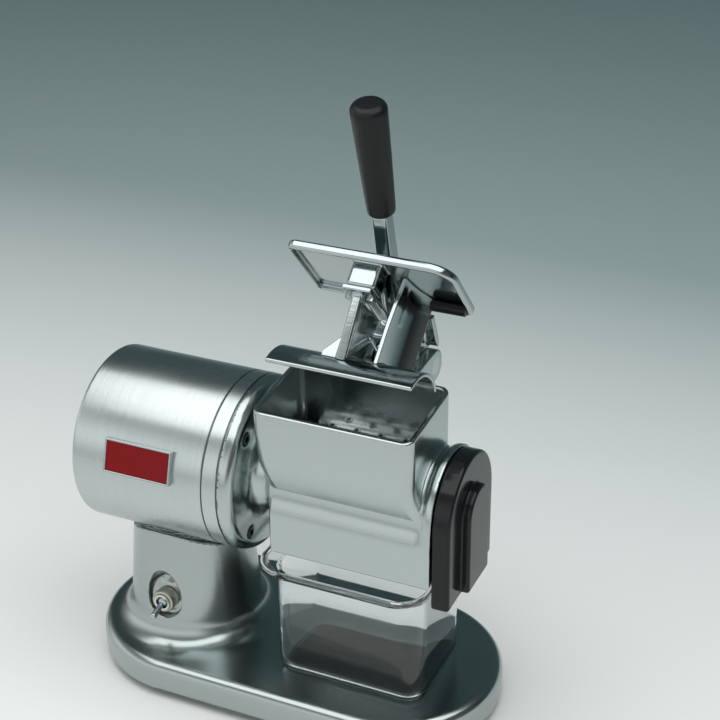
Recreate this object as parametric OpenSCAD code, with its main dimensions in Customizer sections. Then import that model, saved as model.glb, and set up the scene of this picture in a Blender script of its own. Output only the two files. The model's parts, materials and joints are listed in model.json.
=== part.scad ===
// Electric grater: a horizontal motor on a pedestal drives a grating drum under a hopper.
// Frame: origin on the table under the middle of the base, X along the motor axis,
// Y to the rear, Z up. All sizes in millimetres, press lever raised.

/* [Stand] */
// Height of the motor axis above the table
axis_h = 160; // [150:1:175]
// Half length of the base
base_half_l = 147; // [140:1:160]
// Half width of the base and radius of its round ends
base_r = 75; // [75:1:85]
// Height of the top of the base above the table
base_top = 27; // [25:1:29]
// Radius of the pedestal just under the motor
column_r = 41; // [39:1:43]

/* [Motor] */
// Outer radius of the motor shell
motor_r = 60; // [58:1:64]
// Length of the motor shell
motor_l = 99; // [94:1:104]
// Radius of the motor shaft
shaft_r = 6; // [5:0.5:7]

/* [Hopper] */
// Outer length of the hopper along the motor axis
hopper_l = 109; // [106:1:112]
// Rear face of the hopper behind the motor axis
hopper_rear = 22; // [20:1:24]
// Thickness of the cast hopper walls
wall = 3.5; // [3:0.1:4]
// Outer radius of the drum housing
housing_r = 36.6; // [36:0.1:38]

/* [Drum] */
// Outer radius of the grating drum without its teeth
drum_r = 28.2; // [27:0.1:28.4]
// Rows of teeth along the drum
tooth_rows = 10; // [6:1:14]
// Teeth around the drum in each row
teeth_round = 12; // [8:1:16]
// Height of each tooth above the drum
tooth_h = 1.2; // [0.8:0.1:1.4]

/* [Press lever] */
// How far the raised lever stands from its closed place, in degrees
raised_deg = 48; // [40:1:52]
// Height of the lever pivot above the motor axis
pivot_up = 62; // [60:1:64]
// Distance of the lever pivot behind the motor axis
pivot_back = 63; // [60:0.5:63]
// Length of the grip
grip_l = 79; // [72:1:88]
// Radius of the grip at its free end
grip_r = 11.5; // [10.5:0.5:12.5]

/* [End cover and container] */
// Depth of the end cover along the motor axis
cover_d = 12; // [11:0.5:14]
// Wall thickness of the container
container_wall = 2.5; // [2:0.1:3]

/* [Hidden] */
$fn = 96;
foot_h = 6;
foot_low_r = 10;
foot_top_r = 12;
foot_sink = 2.5;
head_gap = 0.4;
base_wall = 5;
base_round = 7;
plate_t = 2;
column_x = -81;
column_wall = 5;
column_flare = 8;
column_foot_r = column_r + 6.5;
saddle_gap = 3;
saddle_r = column_r - 5;
roof_t = 8;
roof_z = axis_h - motor_r - roof_t;
screw_x = 95;
screw_y = 44;
boss_r = 6;
m5_r = 2.5;
m5_head_r = 4.25;
m5_head_h = 5;
pan_h = 2;
pan_z = 0.5;
bottom_screw_l = 14;
screw_sink = m5_head_h - 0.5;
m6_r = 3;
saddle_bolt_x = 28;

motor_x0 = -136;
motor_x1 = motor_x0 + motor_l;
motor_wall = 4;
motor_round = 3;
ring_w = 11;
ring_x1 = motor_x1 + ring_w;
flange_w = 9;
flange_round = 6;
flange_x1 = ring_x1 + flange_w;
seam = 0.6;
bearing_r = 16;
bearing_w = 10;
bearing_seat_r = 21;
rear_bearing_x = motor_x0 + 6;
front_bearing_x = motor_x1;
stator_x0 = motor_x0 + 32;
stator_l = 40;
rotor_r = 30;
air_gap = 0.5;
coil_l = 12;
coil_in_r = 35;
coil_out_r = 47;
slot_r = 5;
slot_at_r = (coil_in_r + coil_out_r) / 2;
bolt_r = 48;
bolt_deg = 48;
wire_r = 6;

hopper_x0 = flange_x1 + 11.5;
hopper_x1 = hopper_x0 + hopper_l;
pivot_y = pivot_back;
pivot_z = axis_h + pivot_up;
front_back = 35.5;
front_out_r = 146;
front_in_r = front_out_r - wall;
mouth_front_z = pivot_z + 5;
mouth_rear_z = pivot_z + 10.5;
corner_r = 7;
housing_x1 = hopper_x1 + 10.5;
rim_r = housing_r + 2;
rim_w = 3;
rim_flare = 9;
bore_r = 32;
bore_x0 = hopper_x0 + 8.5;
chute_front = 41;
chute_rear = housing_r + 0.4;
chute_bottom = axis_h - 40;
chute_x0 = hopper_x0 + 6.5;
chute_wall = 4.5;
chute_shoulder = 14;
seal_r = 13;
seal_w = 7;
ear_r = 11.3;
ear_w = 7.5;
ear_left_x = hopper_x0 + 33;
ear_right_x = hopper_x0 + 74;
pin_r = 5;
ring_t = 1.5;
pin_head_r = pin_r + 1.5;
pin_head_l = 2;

drum_x0 = hopper_x0 + 13.5;
drum_x1 = housing_x1 - 6;
drum_wall = 1.2;
drum_cap_w = 6;
drive_pin_r = 2;
drive_hub_w = 4;
drive_x = drum_x0 - drive_hub_w / 2;
end_pin_r = shaft_r - 1.5;
end_pin_l = 13;
run_gap = 0.06;

cover_gap = 0.5;
cover_x0 = housing_x1 + cover_gap;
cover_x1 = cover_x0 + cover_d;
cover_r = rim_r + 0.2;
cover_round = 2.5;
cover_bottom = axis_h - 56;
cover_grip_half = 18;
cover_grip_h = 6;
cover_grip_foot = cover_bottom + 3;
spigot_r = bore_r - 0.4;
spigot_l = 5;
spigot_wall = 3;
bush_out_r = 9;
bush_boss_r = 12;
bush_x0 = cover_x0 - 3;
bush_l = 12;
cover_face_t = 4;

box_drop = 50;
box_top = axis_h - box_drop;
container_h = box_top - base_top;
box_rim_h = 4;
box_x0 = chute_x0 + 2;
box_x1 = housing_x1 - 4.5;
box_front = -45;
box_rear = 34;
box_corner = 14;
rim_left = 13;
rim_right = 0.5;
rim_front = 4;

lever_r = 10.8;
hub_gap = 0.5;
hub_x0 = ear_left_x + ear_w + hub_gap;
hub_x1 = ear_right_x - hub_gap;
hub_bush_r = 7;
hub_bush_l = 10;
lid_top = pivot_z + 31;
lid_t = 3;
lid_skirt = 6.5;
lid_skirt_t = 3;
lid_front = -40;
lid_rear = 26.5;
lid_over = 2;
lid_corner = 9;
lid_x0 = hopper_x0 - lid_over;
lid_x1 = hopper_x1 + lid_over - 1;
lid_under = lid_top - lid_t;
skirt_under = lid_top - lid_skirt;
shoe_out_r = 34;
shoe_in_r = 31;
shoe_front_deg = 156;
shoe_rear_deg = 64;
shoe_gap = 2.5;
shoe_x0 = hopper_x0 + wall + shoe_gap;
shoe_x1 = hopper_x1 - wall - shoe_gap + 1.5;
arm_x = hopper_x0 + 56;
boss_x = arm_x - 5;
arm_w = 6;
rib_w = 6;
cheek_w = 5;
cheek_x1 = hub_x1;
back_y = pivot_y - 9;
back_z = pivot_z + 15;
lid_boss_w = 19;
lid_boss_front = -31;
lid_boss_rear = -12;
lid_boss_under = pivot_z + 10;
joint_flange = 3;
joint_over = 2.5;
joint_rear = 12;
stem_deg = 152.4;
stem_w = 10;
stem_t = 16;
stem_l = 121.5;
stem_tang_r = 5;
stem_tang_l = 46;
notch_half = stem_w / 2 + 1;
notch_at = (lid_top - pivot_z - stem_t / 2 * cos(stem_deg)) / sin(stem_deg);
notch_front = pivot_y + notch_at * cos(stem_deg) - stem_t / 2 * sin(stem_deg) - 1;
rib_front = -29;
rib_low = -22;
rib_t = 4.5;
rib_foot = axis_h + 25;
gusset_l = 12;
gusset_h = 13;
gusset_t = 4;
gusset_y = -14;
arm_head_y = -27;
arm_toe_y = -19;
arm_heel_y = 6;
arm_foot = axis_h + 26;
arm_knee = 4;
cheek_head_y = -14;
cheek_toe_y = -17;
cheek_heel_y = 8;
cheek_bend = axis_h + 58;
over_rim = 3;
over_z = mouth_rear_z + over_rim;
neck_h = 14;
neck_low_gap = 6;
neck_gap = 4;
hub_under_y = 8;
hub_under_z = 4;
skirt_gap = 0.3;
skirt_side_gap = 0.5;
grip_neck_r = grip_r - 2.5;
grip_round = 5;
rod_r = 3.75;
rod_y = 15.7;
rod_x1 = lid_x1 - lid_skirt_t;
m4_r = 2;
m4_head_r = 3.5;
m4_head_h = 2.6;

switch_x = column_x - 1;
switch_z = 57;
switch_y = -(column_r - 3.5);
switch_tilt = 86;
switch_bush_r = 6;
switch_bore_r = 4.5;
switch_ball_r = 4.1;
switch_pivot = 6;
switch_bush_l = 9.5;
switch_nut_l = 8.5;
bat_l = 15;
bat_r = 2.4;
trunnion_r = 1.2;
switch_rest = 16;
switch_nut_r = 8.2;
pocket_r = 12.5;

badge_l = 49.5;
badge_h = 23.2;
badge_t = 3.2;
badge_lift = 17;
badge_x = motor_x0 + 52.3;
badge_edge = 1.4;
badge_in = 1;

gland_z = 46;
gland_r = 6;
gland_hex_r = 10;
gland_hex_l = 5;
gland_thread_l = 12;
gland_cone_l = 9;
gland_cone_r = 8;
gland_end_r = 6.5;
gland_nut_l = 4;
gland_nut_in = 11;
cord_r = 3.5;
cap_r = 12;
cap_h = 46;
cap_x = column_x + 17;
cap_y = 10;
term_l = 34;
term_w = 18;
term_h = 9;

aluminium = [0.80, 0.81, 0.82];
chrome = [0.86, 0.87, 0.88];
steel = [0.62, 0.63, 0.65];
dark_steel = [0.22, 0.22, 0.23];
black_plastic = [0.05, 0.05, 0.05];
rubber = [0.08, 0.08, 0.08];
copper = [0.72, 0.40, 0.20];
bronze = [0.66, 0.50, 0.28];
red_enamel = [0.48, 0.05, 0.06];
clear_plastic = [0.88, 0.91, 0.90];
white_plastic = [0.88, 0.88, 0.85];

// Node to draw

// A solid of revolution on the motor axis, drawn with radius along x and axis position along y
module on_axis() {
  translate([0, 0, axis_h]) rotate([0, 90, 0]) rotate_extrude() children();
}

// A flat ring profile from radius r0 to r1 between axis positions x0 and x1
module band(r0, r1, x0, x1) {
  translate([r0, x0]) square([r1 - r0, x1 - x0]);
}

// A round bar along X through the given height and depth
module bar_x(x0, x1, y, z, r) {
  translate([x0, y, z]) rotate([0, 90, 0]) cylinder(h = x1 - x0, r = r);
}

// A flat shape in the Y and Z directions given thickness along X
module slab_x(x0, x1) {
  translate([x0, 0, 0]) rotate([90, 0, 90]) linear_extrude(height = x1 - x0) children();
}

// A rectangle with round corners
module round_rect(x0, x1, y0, y1, r) {
  translate([x0 + r, y0]) square([x1 - x0 - 2 * r, y1 - y0]);
  translate([x0, y0 + r]) square([x1 - x0, y1 - y0 - 2 * r]);
  for (x = [x0 + r, x1 - r], y = [y0 + r, y1 - r]) translate([x, y]) circle(r = r);
}

// The stadium outline of the base, drawn in by the given amount
module stadium(inset) {
  middle = base_half_l - base_r;
  translate([-middle, inset - base_r]) square([2 * middle, 2 * (base_r - inset)]);
  for (x = [-middle, middle]) translate([x, 0]) circle(r = base_r - inset);
}

// The half profile of the base edge with its rounded top
module base_edge() {
  translate([0, foot_h]) square([base_r - base_round, base_top - foot_h]);
  translate([0, foot_h]) square([base_r, base_top - foot_h - base_round]);
  translate([base_r - base_round, base_top - base_round]) circle(r = base_round);
}

module base_solid() {
  middle = base_half_l - base_r;
  for (x = [-middle, middle]) {
    translate([x, 0, 0]) rotate_extrude() intersection() {
      base_edge();
      square([base_r + 1, base_top + 1]);
    }
  }
  for (side = [0, 1]) mirror([0, side, 0]) slab_x(-middle, middle) base_edge();
}

// The half profile of the pedestal with a flare into the base
module column_profile() {
  top = axis_h - 20;
  polygon([[0, base_top - 2], [column_foot_r, base_top - 2], [column_foot_r, base_top],
    [column_r, top], [0, top]]);
  difference() {
    translate([0, base_top - 1]) square([column_foot_r + column_flare - 0.5, column_flare + 0.5]);
    translate([column_foot_r + column_flare - 0.5, base_top + column_flare]) circle(r = column_flare);
  }
}

module at_switch() {
  translate([switch_x, switch_y, switch_z]) rotate([switch_tilt, 0, 0]) children();
}

module at_gland() {
  translate([column_x, column_r - 2, gland_z]) rotate([-90, 0, 0]) children();
}

module at_screws() {
  for (x = [-screw_x, screw_x], y = [-screw_y, screw_y]) translate([x, y, 0]) children();
}

module at_saddle_bolts() {
  for (side = [-1, 1]) translate([column_x + side * saddle_bolt_x, 0, 0]) children();
}

// Cast base and pedestal in one piece, hollow from below
module pedestal() {
  color(aluminium) difference() {
    union() {
      difference() {
        union() {
          base_solid();
          translate([column_x, 0, 0]) rotate_extrude() column_profile();
        }
        translate([0, 0, foot_h - 1]) linear_extrude(height = base_top - base_wall - foot_h + 1)
          stadium(base_wall);
        translate([column_x, 0, foot_h]) cylinder(h = roof_z - foot_h, r = column_r - column_wall);
        difference() {
          bar_x(motor_x0 - 9, flange_x1, 0, axis_h, motor_r + saddle_gap);
          translate([column_x, 0, roof_z]) cylinder(h = motor_r, r = saddle_r);
        }
        bar_x(motor_x0 - 9, flange_x1, 0, axis_h, motor_r);
      }
      at_screws() translate([0, 0, foot_h + plate_t])
        cylinder(h = base_top - foot_h - plate_t - 2, r = boss_r);
      at_switch() translate([0, 0, -5]) cylinder(h = 5, r = pocket_r + 2);
      at_gland() translate([0, 0, -7]) cylinder(h = 7, r = gland_hex_r + 2);
    }
    at_screws() translate([0, 0, foot_h]) cylinder(h = 12, r = m5_r);
    at_saddle_bolts() translate([0, 0, roof_z - 1]) cylinder(h = roof_t + 12, r = m6_r);
    translate([column_x, 0, roof_z - 1]) cylinder(h = roof_t + 12, r = wire_r);
    at_switch() cylinder(h = 30, r = pocket_r);
    at_switch() translate([0, 6, 3]) rotate([-38, 0, 0]) cylinder(h = 40, r = pocket_r - 1.5);
    at_switch() translate([0, 0, -8]) cylinder(h = 12, r = switch_bush_r);
    at_gland() translate([0, 0, -10]) cylinder(h = 30, r = gland_r);
    at_gland() cylinder(h = 30, r = gland_hex_r + 2.5);
  }
}

// Sheet plate that closes the base from below
module bottom_plate() {
  color(steel) difference() {
    translate([0, 0, foot_h]) linear_extrude(height = plate_t) stadium(base_wall);
    at_screws() translate([0, 0, foot_h - 1]) cylinder(h = plate_t + 2, r = m5_r);
  }
}

module rubber_feet() {
  color(rubber) at_screws() difference() {
    cylinder(h = foot_h, r1 = foot_low_r, r2 = foot_top_r);
    translate([0, 0, -1]) cylinder(h = foot_sink + 1, r = m5_head_r + head_gap);
    translate([0, 0, -1]) cylinder(h = foot_h + 2, r = m5_r);
  }
}

module bottom_screws() {
  color(dark_steel) at_screws() {
    translate([0, 0, pan_z]) cylinder(h = pan_h, r = m5_head_r);
    translate([0, 0, pan_h]) cylinder(h = bottom_screw_l, r = m5_r);
  }
}

// Two bolts that hold the motor down on its saddle
module saddle_bolts() {
  color(dark_steel) at_saddle_bolts() {
    translate([0, 0, roof_z - m5_head_h]) cylinder(h = m5_head_h, r = m6_r + 2);
    translate([0, 0, roof_z - 1]) cylinder(h = roof_t + 1 + motor_wall, r = m6_r);
  }
}

// Motor shell with a closed rear end and a seat for the rear bearing
module motor_shell() {
  inner_x = motor_x0 + motor_wall;
  color(aluminium) difference() {
    on_axis() {
      band(0, motor_r - motor_round, motor_x0, inner_x);
      intersection() {
        translate([motor_r - motor_round, motor_x0 + motor_round]) circle(r = motor_round);
        band(0, motor_r, motor_x0, motor_x0 + motor_round);
      }
      band(motor_r - motor_wall, motor_r, motor_x0 + motor_round, motor_x1 - seam);
      band(motor_r - motor_wall, motor_r - seam, motor_x1 - 2, motor_x1);
      band(bearing_r, bearing_seat_r, inner_x - 1, rear_bearing_x + bearing_w);
      band(0, bearing_seat_r, inner_x - 1, rear_bearing_x);
    }
    at_saddle_bolts() translate([0, 0, axis_h - motor_r - 6]) cylinder(h = 12, r = m6_r);
    translate([column_x, 0, axis_h - motor_r - 6]) cylinder(h = 12, r = wire_r);
  }
}

module at_flange_screws() {
  for (a = [bolt_deg, 180 - bolt_deg, 180 + bolt_deg, -bolt_deg]) {
    translate([0, bolt_r * cos(a), axis_h + bolt_r * sin(a)]) rotate([0, 90, 0]) children();
  }
}

// Ring between motor and grating body that carries the front bearing
module front_shield() {
  color(aluminium) difference() {
    on_axis() {
      band(42, motor_r - seam, motor_x1, ring_x1);
      band(42, motor_r, motor_x1 + seam, ring_x1 - seam);
      band(bearing_r, 43, ring_x1 - 5, ring_x1);
      band(shaft_r + 3, bearing_r + 1, front_bearing_x + bearing_w, ring_x1);
      band(bearing_r, bearing_seat_r, front_bearing_x, ring_x1);
    }
    at_flange_screws() translate([0, 0, motor_x1 - 1]) cylinder(h = ring_w + 2, r = m5_r);
  }
}

// Laminated stack with round slots for the coils
module stator_core() {
  color(steel) difference() {
    on_axis() band(rotor_r + air_gap, motor_r - motor_wall, stator_x0, stator_x0 + stator_l);
    for (a = [0 : 30 : 330]) {
      translate([stator_x0 - 1, slot_at_r * cos(a), axis_h + slot_at_r * sin(a)]) rotate([0, 90, 0])
        cylinder(h = stator_l + 2, r = slot_r);
    }
  }
}

// Coils in the slots joined by end windings on both sides
module stator_winding() {
  color(copper) {
    on_axis() {
      band(coil_in_r, coil_out_r, stator_x0 - coil_l, stator_x0);
      band(coil_in_r, coil_out_r, stator_x0 + stator_l, stator_x0 + stator_l + coil_l);
    }
    for (a = [0 : 30 : 330]) {
      translate([stator_x0 - 1, slot_at_r * cos(a), axis_h + slot_at_r * sin(a)]) rotate([0, 90, 0])
        cylinder(h = stator_l + 2, r = slot_r);
    }
  }
}

module bearing_at(x0) {
  on_axis() {
    difference() {
      band(shaft_r, bearing_r, x0, x0 + bearing_w);
      band(shaft_r + 3, bearing_r - 3, x0 - 1, x0 + 1.2);
      band(shaft_r + 3, bearing_r - 3, x0 + bearing_w - 1.2, x0 + bearing_w + 1);
    }
  }
}

module rear_bearing() {
  color(chrome) bearing_at(rear_bearing_x);
}

module front_bearing() {
  color(chrome) bearing_at(front_bearing_x);
}

// Motor shaft that reaches into the drum and takes the drive pin
module motor_shaft() {
  color(steel) difference() {
    bar_x(rear_bearing_x + 0.5, drum_x0 + drum_cap_w, 0, axis_h, shaft_r - run_gap / 2);
    translate([drive_x, -shaft_r - 1, axis_h]) rotate([-90, 0, 0])
      cylinder(h = 2 * shaft_r + 2, r = drive_pin_r);
  }
}

module rotor_core() {
  color(steel) on_axis() band(shaft_r - run_gap / 2, rotor_r, stator_x0, stator_x0 + stator_l);
}

// Short circuit rings at both ends of the rotor
module rotor_rings() {
  color(aluminium) on_axis() {
    band(20, rotor_r - 1, stator_x0 - 7, stator_x0);
    band(20, rotor_r - 1, stator_x0 + stator_l, stator_x0 + stator_l + 7);
  }
}

module shaft_seal() {
  color(rubber) on_axis() band(shaft_r + run_gap / 2, seal_r, bore_x0 - seal_w, bore_x0);
}

// Outline of the hopper seen from the side, closed by the sloping mouth
module hopper_side(rear, low, up) {
  polygon([[-70, low], [rear, low], [rear, mouth_rear_z + up],
    [-47, mouth_front_z + up], [-70, mouth_front_z - 2 + up]]);
}

// A body swept about a line behind the lever pivot, so that the front wall clears the press shoe
module swept_front(r, x0, x1, round) {
  translate([0, pivot_y + front_back, pivot_z]) rotate([0, 90, 0]) rotate_extrude() {
    band(0, r - round, x0, x1);
    band(0, r, x0 + round, x1 - round);
    for (x = [x0 + round, x1 - round]) intersection() {
      translate([r - round, x]) circle(r = round);
      band(0, r + 1, x0 - 1, x1 + 1);
    }
  }
}

module hopper_outside() {
  intersection() {
    swept_front(front_out_r, hopper_x0, hopper_x1, corner_r);
    slab_x(hopper_x0, hopper_x1) hopper_side(hopper_rear, axis_h, 0);
    translate([0, 0, axis_h - 1]) linear_extrude(height = 90)
      round_rect(hopper_x0, hopper_x1, -90, hopper_rear, corner_r);
  }
}

module hopper_inside() {
  intersection() {
    swept_front(front_in_r, hopper_x0 + wall, hopper_x1 - wall, corner_r - wall);
    slab_x(hopper_x0 + wall, hopper_x1 - wall) hopper_side(hopper_rear - wall, axis_h, 3);
    translate([0, 0, axis_h - 1]) linear_extrude(height = 90)
      round_rect(hopper_x0 + wall, hopper_x1 - wall, -90, hopper_rear - wall, corner_r - wall);
  }
}

module chute_outside() {
  slab_x(chute_x0, housing_x1) {
    translate([-chute_front, chute_bottom])
      square([chute_front + chute_rear, axis_h + 4 - chute_shoulder - chute_bottom]);
    translate([chute_shoulder - chute_front, chute_bottom])
      square([chute_front + chute_rear - chute_shoulder, axis_h + 4 - chute_bottom]);
    translate([chute_shoulder - chute_front, axis_h + 4 - chute_shoulder]) circle(r = chute_shoulder);
  }
}

module ear(x0) {
  slab_x(x0, x0 + ear_w) {
    translate([pivot_y, pivot_z]) circle(r = ear_r);
    polygon([[hopper_rear - 2, mouth_rear_z - 0.2], [pivot_y, pivot_z + ear_r],
      [pivot_y + ear_r * cos(-35), pivot_z + ear_r * sin(-35)], [pivot_y - 4, pivot_z - 10.5],
      [hopper_rear + 9, axis_h + 34], [hopper_rear - 2, axis_h + 26]]);
  }
}

// Casting with motor flange, drum housing, hopper, chute and hinge ears
module grating_body() {
  color(aluminium) difference() {
    union() {
      on_axis() {
        band(0, motor_r - seam, ring_x1, ring_x1 + 1);
        band(0, motor_r, ring_x1 + seam, flange_x1 - flange_round);
        band(0, motor_r - flange_round, ring_x1 + seam, flange_x1);
        intersection() {
          translate([motor_r - flange_round, flange_x1 - flange_round]) circle(r = flange_round);
          band(0, motor_r, flange_x1 - flange_round, flange_x1);
        }
        band(0, housing_r + 2, flange_x1 - 1, bore_x0);
        band(0, housing_r, bore_x0 - 1, housing_x1);
        polygon([[bore_r, housing_x1 - rim_flare], [housing_r, housing_x1 - rim_flare],
          [rim_r, housing_x1 - rim_w], [rim_r, housing_x1], [bore_r, housing_x1]]);
      }
      hopper_outside();
      chute_outside();
      ear(ear_left_x);
      ear(ear_right_x);
    }
    hopper_inside();
    bar_x(bore_x0, housing_x1 + 1, 0, axis_h, bore_r);
    translate([chute_x0 + chute_wall, chute_wall - chute_front, chute_bottom - 1])
      cube([housing_x1 - chute_x0 - 2 * chute_wall, chute_front + chute_rear - 2 * chute_wall,
        axis_h - chute_bottom + 1]);
    bar_x(bore_x0 - seal_w, bore_x0 + 1, 0, axis_h, seal_r);
    bar_x(ring_x1 - 1, bore_x0, 0, axis_h, shaft_r + 3);
    at_flange_screws() translate([0, 0, ring_x1 - 1]) cylinder(h = flange_w + 2, r = m5_r);
    at_flange_screws() translate([0, 0, flange_x1 - screw_sink])
      cylinder(h = m5_head_h, r = m5_head_r + 0.5);
    bar_x(ear_left_x - 1, ear_right_x + ear_w + 1, pivot_y, pivot_z, pin_r);
    pin_head();
  }
}

// Socket head screws that hold the grating body to the motor
module flange_screws() {
  color(dark_steel) at_flange_screws() difference() {
    union() {
      translate([0, 0, flange_x1 - screw_sink]) cylinder(h = m5_head_h, r = m5_head_r);
      translate([0, 0, motor_x1 + 2]) cylinder(h = ring_w + flange_w - screw_sink, r = m5_r);
    }
    translate([0, 0, flange_x1 - screw_sink + 2]) cylinder(h = m5_head_h, r = 2.3, $fn = 6);
  }
}

module at_badge() {
  translate([badge_x, 0, axis_h]) rotate([-badge_lift, 0, 0]) mirror([0, 1, 0]) children();
}

// Bare badge: a raised border with a hollow back that follows the motor shell
module badge_frame() {
  color(chrome) difference() {
    at_badge() translate([-badge_l / 2, motor_r - 5, -badge_h / 2])
      cube([badge_l, badge_t + 5, badge_h]);
    bar_x(motor_x0, motor_x1, 0, axis_h, motor_r);
    at_badge() translate([badge_edge - badge_l / 2, motor_r + badge_t - badge_in, badge_edge - badge_h / 2])
      cube([badge_l - 2 * badge_edge, badge_in + 1, badge_h - 2 * badge_edge]);
  }
}

module badge_plate() {
  color(red_enamel) at_badge()
    translate([badge_edge - badge_l / 2, motor_r + badge_t - badge_in, badge_edge - badge_h / 2])
    cube([badge_l - 2 * badge_edge, badge_in - 0.3, badge_h - 2 * badge_edge]);
}

// Toggle switch: box behind the wall and threaded bush through it
module switch_body() {
  color(steel) at_switch() difference() {
    union() {
      translate([-8, -9, -24]) cube([16, 18, 19]);
      translate([0, 0, -6]) cylinder(h = switch_bush_l + 6, r = switch_bush_r);
    }
    translate([0, 0, 1]) cylinder(h = switch_bush_l, r = switch_bore_r);
    switch_trunnions(switch_bush_r + 1, run_gap);
  }
}

// Cross pin that the bat turns on
module switch_trunnions(reach, gap) {
  translate([-reach, 0, switch_pivot]) rotate([0, 90, 0])
    cylinder(h = 2 * reach, r = trunnion_r + gap);
}

module switch_nut() {
  color(chrome) at_switch() difference() {
    cylinder(h = switch_nut_l, r = switch_nut_r);
    translate([0, 0, -1]) cylinder(h = switch_nut_l + 2, r = switch_bush_r);
  }
}

// Bat of the toggle switch, resting in its lower place
module switch_lever() {
  color(chrome) at_switch() switch_trunnions(switch_bush_r - trunnion_r / 3, 0);
  color(chrome) at_switch() translate([0, 0, switch_pivot]) rotate([switch_rest, 0, 0]) {
    sphere(r = switch_ball_r);
    cylinder(h = bat_l, r1 = bat_r - 0.8, r2 = bat_r);
    translate([0, 0, bat_l]) sphere(r = bat_r);
  }
}

module capacitor() {
  color(white_plastic) translate([cap_x, cap_y, foot_h + plate_t]) {
    cylinder(h = cap_h, r = cap_r);
    translate([0, 0, cap_h - 1]) cylinder(h = 4, r = 5);
  }
}

module terminal_block() {
  color(white_plastic) translate([-term_l / 2, -term_w / 2, foot_h + plate_t]) difference() {
    cube([term_l, term_w, term_h]);
    for (i = [0 : 2]) translate([term_l * (i + 0.5) / 3, term_w / 2, 3]) cylinder(h = term_h, r = 3);
  }
}

// Gland where a cord would enter at the rear of the pedestal
module cord_gland() {
  color(black_plastic) at_gland() difference() {
    union() {
      cylinder(h = gland_hex_l, r = gland_hex_r, $fn = 6);
      translate([0, 0, -gland_thread_l]) cylinder(h = gland_thread_l + 1, r = gland_r);
      translate([0, 0, gland_hex_l - 1]) cylinder(h = gland_cone_l, r1 = gland_cone_r, r2 = gland_end_r);
    }
    translate([0, 0, -gland_thread_l - 1])
      cylinder(h = gland_thread_l + gland_hex_l + gland_cone_l + 2, r = cord_r);
  }
}

module gland_nut() {
  color(black_plastic) at_gland() difference() {
    translate([0, 0, -gland_nut_in]) cylinder(h = gland_nut_l, r = gland_hex_r, $fn = 6);
    translate([0, 0, -gland_nut_in - 2]) cylinder(h = gland_nut_l + 4, r = gland_r);
  }
}

module pivot_pin() {
  color(steel) {
    bar_x(ear_left_x - 2 * ring_t, ear_right_x + ear_w, pivot_y, pivot_z, pin_r);
    pin_head();
  }
}

// Sunk head of the pivot pin in the right ear
module pin_head() {
  bar_x(ear_right_x + ear_w - pin_head_l, ear_right_x + ear_w, pivot_y, pivot_z, pin_head_r);
}

// Retaining ring on the left end of the pivot pin
module pivot_ring() {
  color(dark_steel) difference() {
    bar_x(ear_left_x - ring_t, ear_left_x, pivot_y, pivot_z, pin_r + 2.5);
    bar_x(ear_left_x - 2 * ring_t, ear_left_x + 1, pivot_y, pivot_z, pin_r);
  }
}

// Cross pin in the shaft that turns the drum
module drive_pin() {
  color(steel) translate([drive_x, -11, axis_h]) rotate([-90, 0, 0]) cylinder(h = 22, r = drive_pin_r);
}

module drum_tooth(x, a) {
  translate([x, 0, axis_h]) rotate([a, 0, 0]) translate([0, 0, drum_r - drum_wall / 2]) children();
}

// Grating drum: a rolled sheet with rows of punched teeth around sharp holes
module grating_drum() {
  pitch = (drum_x1 - drum_x0 - 2 * drum_cap_w) / tooth_rows;
  color(chrome) difference() {
    union() {
      on_axis() band(drum_r - drum_wall, drum_r, drum_x0, drum_x1);
      for (i = [0 : tooth_rows - 1], k = [0 : teeth_round - 1])
        drum_tooth(drum_x0 + drum_cap_w + pitch * (i + 0.5), (k + 0.5 * (i % 2)) * 360 / teeth_round)
          cylinder(h = tooth_h + drum_wall / 2, r1 = 3, r2 = 2.3);
    }
    for (i = [0 : tooth_rows - 1], k = [0 : teeth_round - 1])
      drum_tooth(drum_x0 + drum_cap_w + pitch * (i + 0.5), (k + 0.5 * (i % 2)) * 360 / teeth_round)
        translate([0, 0, -2]) cylinder(h = 6, r = 1.8);
  }
}

// Drum end on the motor side with a slotted hub for the drive pin
module drive_cap() {
  color(steel) difference() {
    on_axis() {
      band(shaft_r, drum_r - drum_wall, drum_x0, drum_x0 + drum_cap_w);
      band(shaft_r, 12, drum_x0 - drive_hub_w, drum_x0 + 1);
    }
    translate([drive_x - drive_pin_r - 3, -13, axis_h - drive_pin_r])
      cube([2 * drive_pin_r + 3, 26, 2 * drive_pin_r]);
  }
}

// Drum end on the cover side with its own axle pin
module end_cap() {
  color(steel) on_axis() {
    band(0, drum_r - drum_wall, drum_x1 - drum_cap_w, drum_x1);
    band(0, end_pin_r, drum_x1 - 1, drum_x1 + end_pin_l);
  }
}

module cover_edge() {
  band(0, cover_r - cover_round, cover_x0, cover_x1);
  band(0, cover_r, cover_x0, cover_x1 - cover_round);
  translate([cover_r - cover_round, cover_x1 - cover_round]) circle(r = cover_round);
}

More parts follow.
